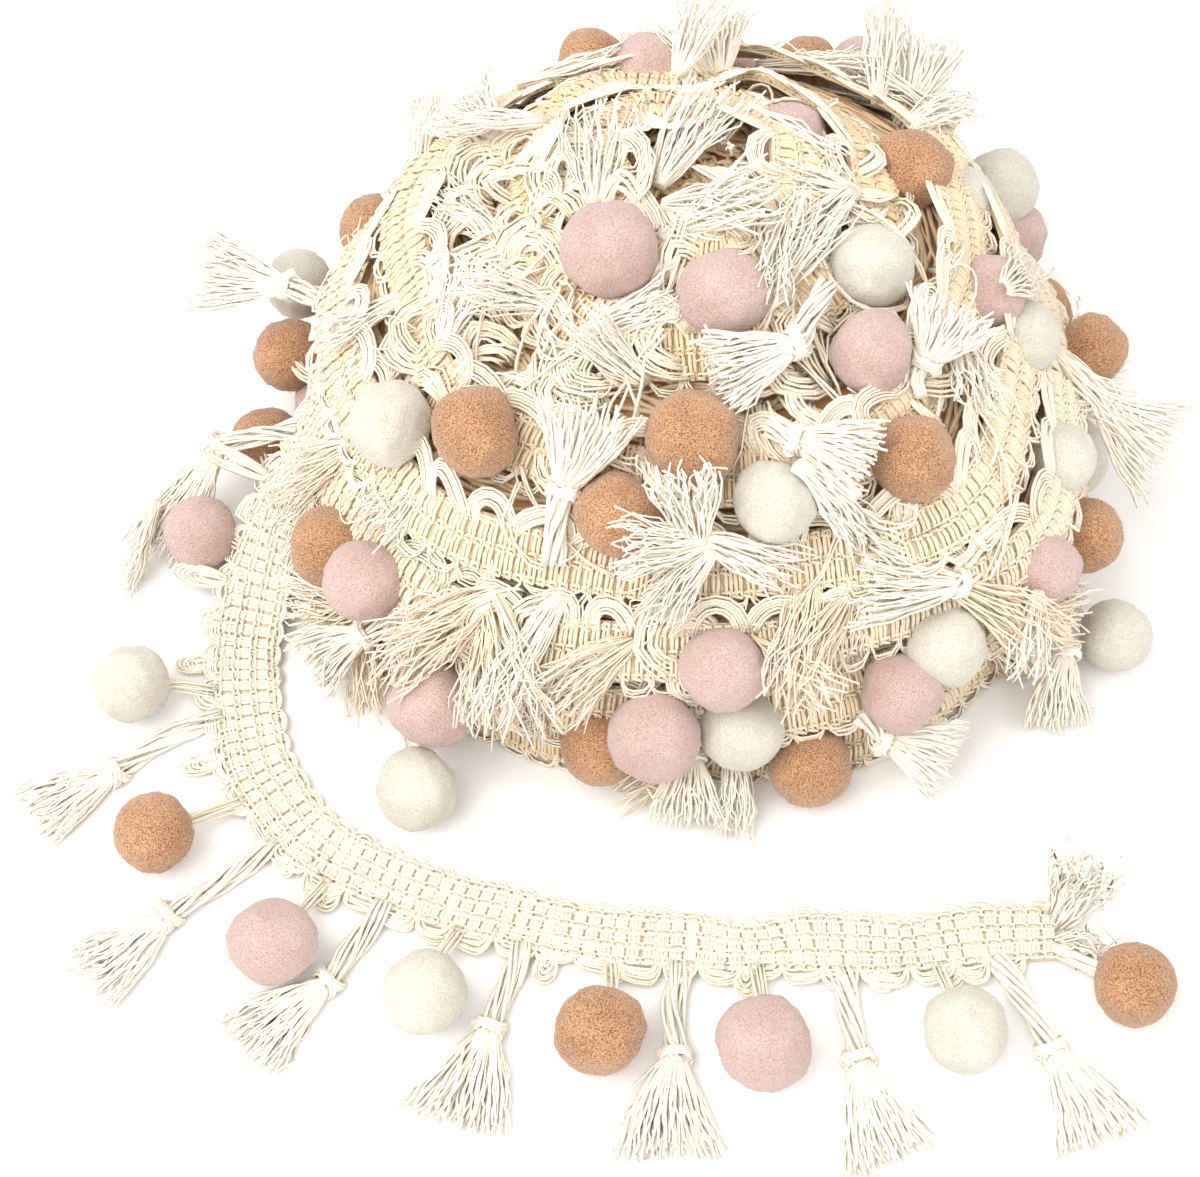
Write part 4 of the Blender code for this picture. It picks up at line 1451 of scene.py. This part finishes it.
def upper_waves(skein, band, pitch=12.5, strands=6, reach=5.6, radius=0.43, gap=0.74, foot=2.6):
    """Thick waves along the upper edge, each of strands that lie side by side in one arch."""
    count = max(2, round(band.length / pitch))
    middle = (np.arange(count) + 0.5) * band.length / count + chance.uniform(-1.5, 1.5, count)
    half = pitch * chance.uniform(0.52, 0.8, (count, 1))
    high = reach * chance.uniform(0.8, 1.35, (count, 1))
    lean = chance.uniform(-0.9, 0.9, (count, 1)) * high
    stand = chance.uniform(0.9, 2.6, (count, 1))
    along, up = np.array(WAVE_SHAPE[0]), np.array(WAVE_SHAPE[1])
    for k in range(strands):
        s = middle[:, None] + along * np.maximum(half - gap * k, 0.8) + lean * up
        v = -(band.width_at(middle)[:, None] / 2 - foot + (high + foot - gap * k) * up)
        h = stand * (0.35 + 0.65 * up) + 0.28 * np.sin(k * 1.7) + chance.normal(0, 0.1, (count, len(up)))
        skein.lay(through(band.place(s, v, h), 9), radius, 3, chance.uniform(0, 0.12))


def lower_loops(skein, band, pitch=7.0, strands=3, reach=3.4, radius=0.42):
    count = max(2, round(band.length / pitch))
    posts = np.linspace(0, band.length, count + 1)[:-1] + chance.uniform(-1, 1, count)
    depth = chance.uniform(0.6, 1.3, count) * reach
    swags(skein, band, posts, posts + pitch * 1.1, strands, depth, 7, radius, height=0.6, gap=0.8)


for row in BANDS:
    item = dict(zip(BAND_COLUMNS, row))
    turn = turns[item["turn"]]
    line = turn_oval(turn, item["turn"], item["inwards"], item["lift"])
    t = np.linspace(0, 1, len(line))
    tilt = item["tilt"] + 9 * np.sin(2 * math.pi * (3 * t + item["turn"] * 0.37))
    band = leaning_band(line, tilt, item["width"])
    ground = ground_cloth("ground_" + item["name"], band, GROUND_AND_SHADE_COTTON)
    yarns = Skein()
    rows_laid = weft_rows(
        yarns,
        band,
        HEAP_PITCH,
        strands=2,
        steps=7,
        sides=3,
        radius=0.70,
        warmth_and_shade=item["warmth_and_shade"],
        gather=0.92,
        puff=0.2,
        wale_pitch=HEAP_WALES[2],
        rise=1.0,
    )
    chains(yarns, band, rows_laid, points=4, radius=0.52, warmth_and_shade=item["warmth_and_shade"], wales=HEAP_WALES)
    yarns.piece("yarns_" + item["name"], HEAP_COTTON)
    edges = Skein()
    upper_waves(edges, band)
    lower_loops(edges, band)
    edges.piece("edges_" + item["name"], LOOP_COTTON)

# %% [markdown]
# ## Tassels of the heap
# Tassels hang from the turns at every angle. They use the same helper as those of the loose end,
# with fewer strands, because they are smaller and further from the eye.

# %% Tassels of the heap
HEAP_TASSELS = (
    ((-65.8, 66.3, 45.2), (-80.8, 77.3, 42.2), (-104.8, 86.3, 38.2), 12),
    ((-22.8, 77.3, 82.2), (-27.8, 86.3, 83.2), (-37.8, 97.3, 86.2), 11),
    ((25.2, 94.3, 84.2), (24.2, 102.3, 86.2), (21.2, 117.3, 92.2), 12),
    ((67.2, 96.3, 72.2), (70.2, 104.3, 76.2), (74.2, 119.3, 85.2), 12.5),
    ((46.2, 33.3, 93.2), (38.2, 17.3, 92.2), (20.2, 10.3, 90.2), 10),
    ((-13.8, -16.7, 58.2), (-11.8, -6.7, 72.2), (-6.8, 4.3, 86.2), 12),
    ((89.2, -5.7, 40.2), (76.2, -14.7, 48.2), (53.2, -19.7, 59.2), 12),
    ((65.2, 15.3, 76.2), (67.2, 20.3, 82.2), (73.2, 28.3, 92.2), 11),
    ((106.2, 42.3, 44.2), (115.2, 42.3, 40.2), (132.2, 34.3, 32.2), 14),
    ((17.2, -33.7, 26.2), (17.2, -38.7, 14.2), (16.2, -51.7, 5.2), 9.5),
    ((55.2, -32.7, 22.2), (61.2, -36.7, 17.2), (76.2, -40.7, 12.2), 10.5),
    ((104.2, -4.7, 22.2), (106.2, -9.7, 12.2), (105.2, -24.7, 3.2), 8),
    ((-50.8, -5.7, 24.2), (-58.8, -9.7, 19.2), (-71.8, -14.7, 11.2), 9.5),
    ((32.2, 3.3, 82.2), (38.2, -0.7, 82.2), (53.2, -7.7, 82.2), 11),
)
heap_tassels = Skein()
for row in HEAP_TASSELS:
    item = dict(zip(TASSEL_COLUMNS, row))
    tassel(
        heap_tassels,
        item["start"],
        item["knot"],
        item["end"],
        item["fan"],
        TOWARDS_FRONT,
        strands=72,
        steps=8,
    )
heap_nodes = [n for n in frame["nodes"] if n.startswith("heap_tassel")]
heap_tassels.piece("heap_tassels", TASSEL_COTTON, heap_nodes)

# %% [markdown]
# ## Windings in the depth
# Where two turns part, more of the trim shows further in, side by side and in shadow. Rings of
# thick slack yarn, laid close round the inner body, stand for it, in a golden colour that is
# painted shade.

# %% Windings
WINDING_DEPTH = 4.6
WINDING_POINTS = 46
WINDING_PITCH = 1.05


def even_levels(pitch):
    """Levels that lie evenly spaced down the heap's front."""
    levels = np.linspace(-0.3, 6.95, 800)
    profile = skin(1.5 * math.pi, levels)
    step = np.linalg.norm(np.diff(profile, axis=0), axis=1)
    run = np.concatenate([[0.0], np.cumsum(step)])
    return np.interp(np.arange(0.5 * pitch, run[-1], pitch), run, levels)


def windings(skein, levels):
    angle = np.linspace(0, 2 * math.pi, WINDING_POINTS)[None, :] + chance.uniform(0, 6.28, (len(levels), 1))
    drift = 0.09 * np.sin(3 * angle + chance.uniform(0, 6.28, (len(levels), 1)))
    drift = drift + 0.09 * np.sin(8 * angle + chance.uniform(0, 6.28, (len(levels), 1)))
    here, normal, _, _ = skin_frame(angle, levels[:, None] + drift)
    inwards = WINDING_DEPTH + chance.normal(0, 0.5, (*here.shape[:2], 1))
    skein.lay(here - normal * inwards, 0.66, 3, chance.uniform(0.0, 0.5, (len(levels), 1)))


deep = Skein()
windings(deep, even_levels(WINDING_PITCH))
deep.piece("heap_windings", DEEP_SHADE_COTTON)

# %% [markdown]
# ## Loose yarn on the heap
# Between its turns the heap is all fringe: arches of parallel strands pushed up by their
# neighbours, cords that cross the turns, single slack strands, and above all the cut ends of
# tassels, in brushes that point every way. Those that can be told apart are set one by one, and a
# seeded draw sets the rest.

# %% Arches and slack strands
ALL_ROUND = (0, 2 * math.pi)
ARCH_SHAPE = ((-1, 0, -1.6), (-0.8, 0.55, 0.5), (0, 1.0, 1.0), (0.8, 0.55, 0.5), (1, 0, -1.6))


def arches(
    skein, count, levels, angles=ALL_ROUND, lanes=6, half=(6, 11), bulge=(5, 10), out=(1.5, 4.0)
):
    """Arches of strands side by side, none of them over a pompom."""
    angle = chance.uniform(*angles, count)
    level = chance.uniform(*levels, count)
    open_to_sight = ~hides_pompom(skin(angle, level), 5.0)
    angle, level = angle[open_to_sight], level[open_to_sight]
    count = len(angle)
    here, normal, round_it, up = skin_frame(angle, level)
    turn = chance.uniform(0, math.pi, (count, 1))
    lane_way = round_it * np.cos(turn) + up * np.sin(turn)
    side_way = np.cross(normal, lane_way)
    half = chance.uniform(*half, (count, 1))
    bulge = chance.uniform(*bulge, (count, 1))
    rise = chance.uniform(*out, (count, 1))
    for k in range(lanes):
        size = 1 - 0.10 * k
        controls = []
        for share, reach, lift in ARCH_SHAPE:
            point = here + lane_way * share * half * size + side_way * (bulge * reach * size)
            controls.append(point + normal * np.where(lift < 0, lift * 1.5, lift * rise))
        controls = np.stack(controls, 1) + chance.normal(0, 0.25, (count, len(ARCH_SHAPE), 3))
        skein.lay(keep_in_room(clear_of_pompoms(through(controls, 9))), 0.46, 3, 0.2)


def slack(skein, count, levels, angles=ALL_ROUND, length=(20, 40), radius=0.38, strands=2):
    """Slack strands that wander over the skin, two or three side by side."""
    angle = chance.uniform(*angles, (count, 1))
    level = chance.uniform(*levels, (count, 1))
    steps = np.linspace(0, 1, 7)[None, :]
    span = chance.uniform(*length, (count, 1))
    turn = chance.uniform(0, 2 * math.pi, (count, 1))
    curl = chance.uniform(-2.5, 2.5, (count, 1))
    x = np.cumsum(np.cos(turn + curl * steps), 1) / 7 * span
    y = np.cumsum(np.sin(turn + curl * steps), 1) / 7 * span
    path_angle = angle + x / 75
    path_level = np.clip(level + y / 17, -0.4, 6.6)
    here, normal, _, _ = skin_frame(path_angle, path_level)
    height = 1.2 + 2.2 * np.abs(np.sin(turn + 3 * steps))
    line = here + normal * height[..., None]
    line = line[~hides_pompom(line.reshape(-1, 3)).reshape(line.shape[:2]).any(1)]
    for k in range(strands):
        shift = chance.normal(0, 0.45, (len(line), 1, 3)) + chance.normal(0, 0.3, line.shape)
        skein.lay(keep_in_room(clear_of_pompoms(through(line + shift, 13))), radius, 3, 0.08)


loose_yarn = Skein()
FRONT = (1.08 * math.pi, 1.95 * math.pi)
BEHIND = (-0.05 * math.pi, 1.08 * math.pi)
arches(loose_yarn, 120, (3.75, 5.2), FRONT)
arches(loose_yarn, 46, (0.0, 2.2), FRONT)
arches(loose_yarn, 70, (0.0, 4.0), BEHIND)
arches(loose_yarn, 105, (4.0, 5.6), BEHIND)
arches(loose_yarn, 60, (5.0, 6.7), half=(5, 9))
slack(loose_yarn, 90, (3.7, 5.0), FRONT)
slack(loose_yarn, 40, (0.0, 2.3), FRONT)
slack(loose_yarn, 70, (0.0, 5.0), BEHIND)
slack(loose_yarn, 60, (5.0, 6.8))
loose_yarn.piece("heap_loose_yarn", LOOP_COTTON)

# %% [markdown]
# ## Brushes of cut ends
# Where a tassel's knot is buried, only its cut ends stick out, like a brush. Hair particles could
# make them, but plain tubes export as they are. Those that can be told apart have rows of their
# own, and a seeded draw sets the rest.

# %% Brushes of cut ends
BRUSH_COLUMNS = ("root", "tip", "fan")
BRUSHES = (
    ((15, 97, 96), (22, 112, 108), 9),
    ((-18, 83, 93), (-40, 84, 94), 6),
    ((-5, 57, 95), (-6, 82, 98), 11),
    ((10, 60, 98), (20, 82, 105), 10),
    ((31, 81, 99), (50, 68, 97), 5),
    ((-38, 32, 78), (-33, 48, 82), 10),
    ((-12, 20, 79), (-26, 14, 80), 5),
    ((52, 58, 96), (36, 62, 99), 6),
    ((51, 56, 97), (40, 42, 97), 6),
    ((87, 43, 81), (97, 60, 66), 8),
    ((95, -13, 39), (93, -24, 33), 9),
    ((17, -20, 71), (0, -24, 72), 8),
    ((17, -19, 72), (12, -14, 90), 9),
    ((19, -19, 71), (33, -20, 67), 8),
    ((19, -21, 68), (7, -27, 55), 7),
    ((-2, -28, 43), (-18, -33, 28), 6),
    ((-13, -20, 49), (-28, -40, 38), 5),
    ((-50, 52, 67), (-68, 46, 60), 6),
    ((-35, -19, 32), (-33, -36, 29), 6),
    ((-67, 31, 48), (-60, 40, 60), 5),
    ((39, -9, 82), (55, -14, 64), 5),
    ((69, 15, 72), (52, 18, 86), 6),
    ((87, 39, 72), (110, 48, 52), 5),
    ((27, -36, 13), (29, -52, 5), 5),
    ((-6, 25, 87), (12, 28, 94), 5),
    ((-26, 57, 81), (-42, 72, 80), 6),
    ((-64, 9, 23), (-70, 24, 36), 5),
    ((-113, 32, 12), (-120, 14, 4), 5),
    ((-21, -25, 41), (-16, -35, 19), 5),
    ((55, -15, 58), (51, -26, 36), 5),
    ((62, 100, 84), (64, 122, 96), 8),
    ((70, 92, 84), (84, 106, 80), 6),
    ((104, 50, 50), (122, 40, 38), 9),
    ((-60, -4, 20), (-78, 2, 14), 8),
    ((36, 46, 98), (30, 30, 100), 7),
    ((-40, 10, 60), (-52, 0, 50), 7),
)
BRUSH_REACH = (15, 21)
DRAWN_REACH = 21
DRAWN_STRANDS = 34
MOST_END_ON = 0.6  # a brush looked into from its cut ends is all dark gaps


def brush(skein, root, tip, fan, strands=50, steps=8, warmth_and_shade=0.0):
    """The cut ends of a tassel whose knot is out of sight."""
    root, tip = np.asarray(root, float), np.asarray(tip, float)
    towards = tip - root
    reach = np.linalg.norm(towards)
    towards = towards / reach
    reach = max(reach, chance.uniform(*BRUSH_REACH))
    out = unit(root - BODY_MIDDLE)
    side = unit(np.cross(towards, out))
    t = np.linspace(0, 1, steps)
    bend = side * chance.uniform(-3, 3) + np.array([0, 0, -1.0]) * chance.uniform(0, 3)
    line = root - towards * 2 + towards * (reach + 2) * t[:, None] + bend * (t**2)[:, None]
    wide = 1.6 + (fan - 1.6) * t**0.85
    thick = 1.5 + 0.45 * (fan - 1.5) * t
    spray = fanned(line, strands, wide, thick, out, 1.0)
    cut = np.clip(chance.normal(0.95, 0.09, (strands, 1, 1)), 0.65, 1.12)
    spray = spray[:, :1] + (spray - spray[:, :1]) * cut
    spray = keep_in_room(clear_of_pompoms(spray))
    # Painted shade: the strands are coloured warmer towards the root, where it sinks into the heap.
    warm_and_shaded = warmth_and_shade + 0.3 * (1 - t) ** 2
    if len(spray):
        skein.lay(spray, BRUSH_RADIUS, 3, np.broadcast_to(warm_and_shaded, spray.shape[:2]), 0.8)


def drawn_brushes(skein, count, levels, angles, upness=(-1.0, 1.0), warmth_and_shade=0.0):
    """Brushes at drawn places, none of them over a pompom."""
    made = 0
    for _ in range(count * 12):
        here, normal, round_it, up = skin_frame(chance.uniform(*angles), chance.uniform(*levels))
        rise = chance.uniform(*upness)
        aside = math.sqrt(1 - rise * rise) * chance.choice([-1, 1])
        towards = unit(normal * chance.uniform(0.25, 0.8) + round_it * aside + up * rise)
        root = here + normal * 1.5
        steps = np.linspace(0, 1, 6)[:, None]
        end_on = towards @ TOWARDS_EYE > MOST_END_ON
        if end_on or hides_pompom(root + towards * DRAWN_REACH * steps, 2.5).any():
            continue
        tip = root + towards * DRAWN_REACH
        brush(skein, root, tip, chance.uniform(6, 11), DRAWN_STRANDS, steps=7, warmth_and_shade=warmth_and_shade)
        made += 1
        if made == count:
            break
    print("brushes drawn:", made, "of", count)


brushes = Skein()
for row in BRUSHES:
    brush(brushes, **dict(zip(BRUSH_COLUMNS, row)))
# The brushes low on the front of the heap are tinted golden, as painted shade.
drawn_brushes(brushes, 14, (0.2, 2.2), (1.1 * math.pi, 1.9 * math.pi), (-0.9, -0.2), 0.6)
drawn_brushes(brushes, 13, (2.0, 2.7), (1.1 * math.pi, 1.9 * math.pi), (-1.0, -0.5), 0.4)
brushes.piece("heap_brushes", TASSEL_COTTON)
back_brushes = Skein()
drawn_brushes(back_brushes, 26, (0.2, 3.6), (0.12 * math.pi, 0.95 * math.pi))
drawn_brushes(back_brushes, 13, (3.4, 5.0), (0.08 * math.pi, 0.96 * math.pi), (-0.3, 1.0))
drawn_brushes(back_brushes, 5, (2.6, 4.4), (1.86 * math.pi, 2.12 * math.pi), (-0.6, 0.8))
drawn_brushes(back_brushes, 8, (0.3, 2.5), (0.95 * math.pi, 1.2 * math.pi))
drawn_brushes(back_brushes, 8, (0.3, 2.5), (1.82 * math.pi, 2.12 * math.pi))
drawn_brushes(back_brushes, 6, (4.8, 6.4), (0, 2 * math.pi))
drawn_brushes(back_brushes, 10, (0.2, 1.5), (0.0, math.pi), (-1.0, -0.3))
RIM_BRUSHES = (  # these lie along the far rim of the heap and cover the bare back of its band
    ((36, 115, 80), (60, 111, 85), 9),
    ((80, 99, 77), (60, 110, 84), 8),
    ((-22, 109, 80), (0, 114, 84), 8),
)
for row in RIM_BRUSHES:
    brush(back_brushes, **dict(zip(BRUSH_COLUMNS, row)))
back_brushes.piece("back_brushes", TASSEL_COTTON)

# %% [markdown]
# ## Curls
# A few single strands have sprung out of the heap and turned back on themselves. Each is a smooth
# line through six points, turned and sized at random, which is enough to break up the outline.

# %% Curls
CURLS = 70
CURL_SHAPE = (  # ahead, aside and out, in shares of the curl's size
    (0, 0, -1),
    (0.5, 0.1, 0.5),
    (1.2, 0.5, 0.9),
    (1.3, 1.2, 0.7),
    (0.7, 1.4, 0.6),
    (0.5, 0.8, 0.2),
)


def curls(skein, count, levels, angles):
    """Single slack strands that spring out of the heap and turn back."""
    here, normal, round_it, up = skin_frame(chance.uniform(*angles, count), chance.uniform(*levels, count))
    turn = chance.uniform(0, 2 * math.pi, (count, 1))
    first = round_it * np.cos(turn) + up * np.sin(turn)
    second = np.cross(normal, first)
    size = chance.uniform(4, 9, (count, 1))
    controls = []
    for ahead, aside, out in CURL_SHAPE:
        controls.append(here + size * (first * ahead + second * aside + normal * out * 0.8))
    controls = np.stack(controls, 1) + chance.normal(0, 0.5, (count, len(CURL_SHAPE), 3))
    skein.lay(keep_in_room(clear_of_pompoms(through(controls, 16))), 0.26, 3, 0.0)


curl_yarn = Skein()
curls(curl_yarn, CURLS, (0.5, 6.0), (0, 2 * math.pi))
curl_yarn.piece("heap_curls", LOOP_COTTON)

# %% [markdown]
# ## The loose end
# The loose end is the same strip laid out on the table, and everything on it goes with it.

# %% [markdown]
# ## Triangles
# Last, the triangles of all pieces are counted.

# %% Triangles and end
print("triangles in all:", sum(PIECE_TRIANGLES.values()))
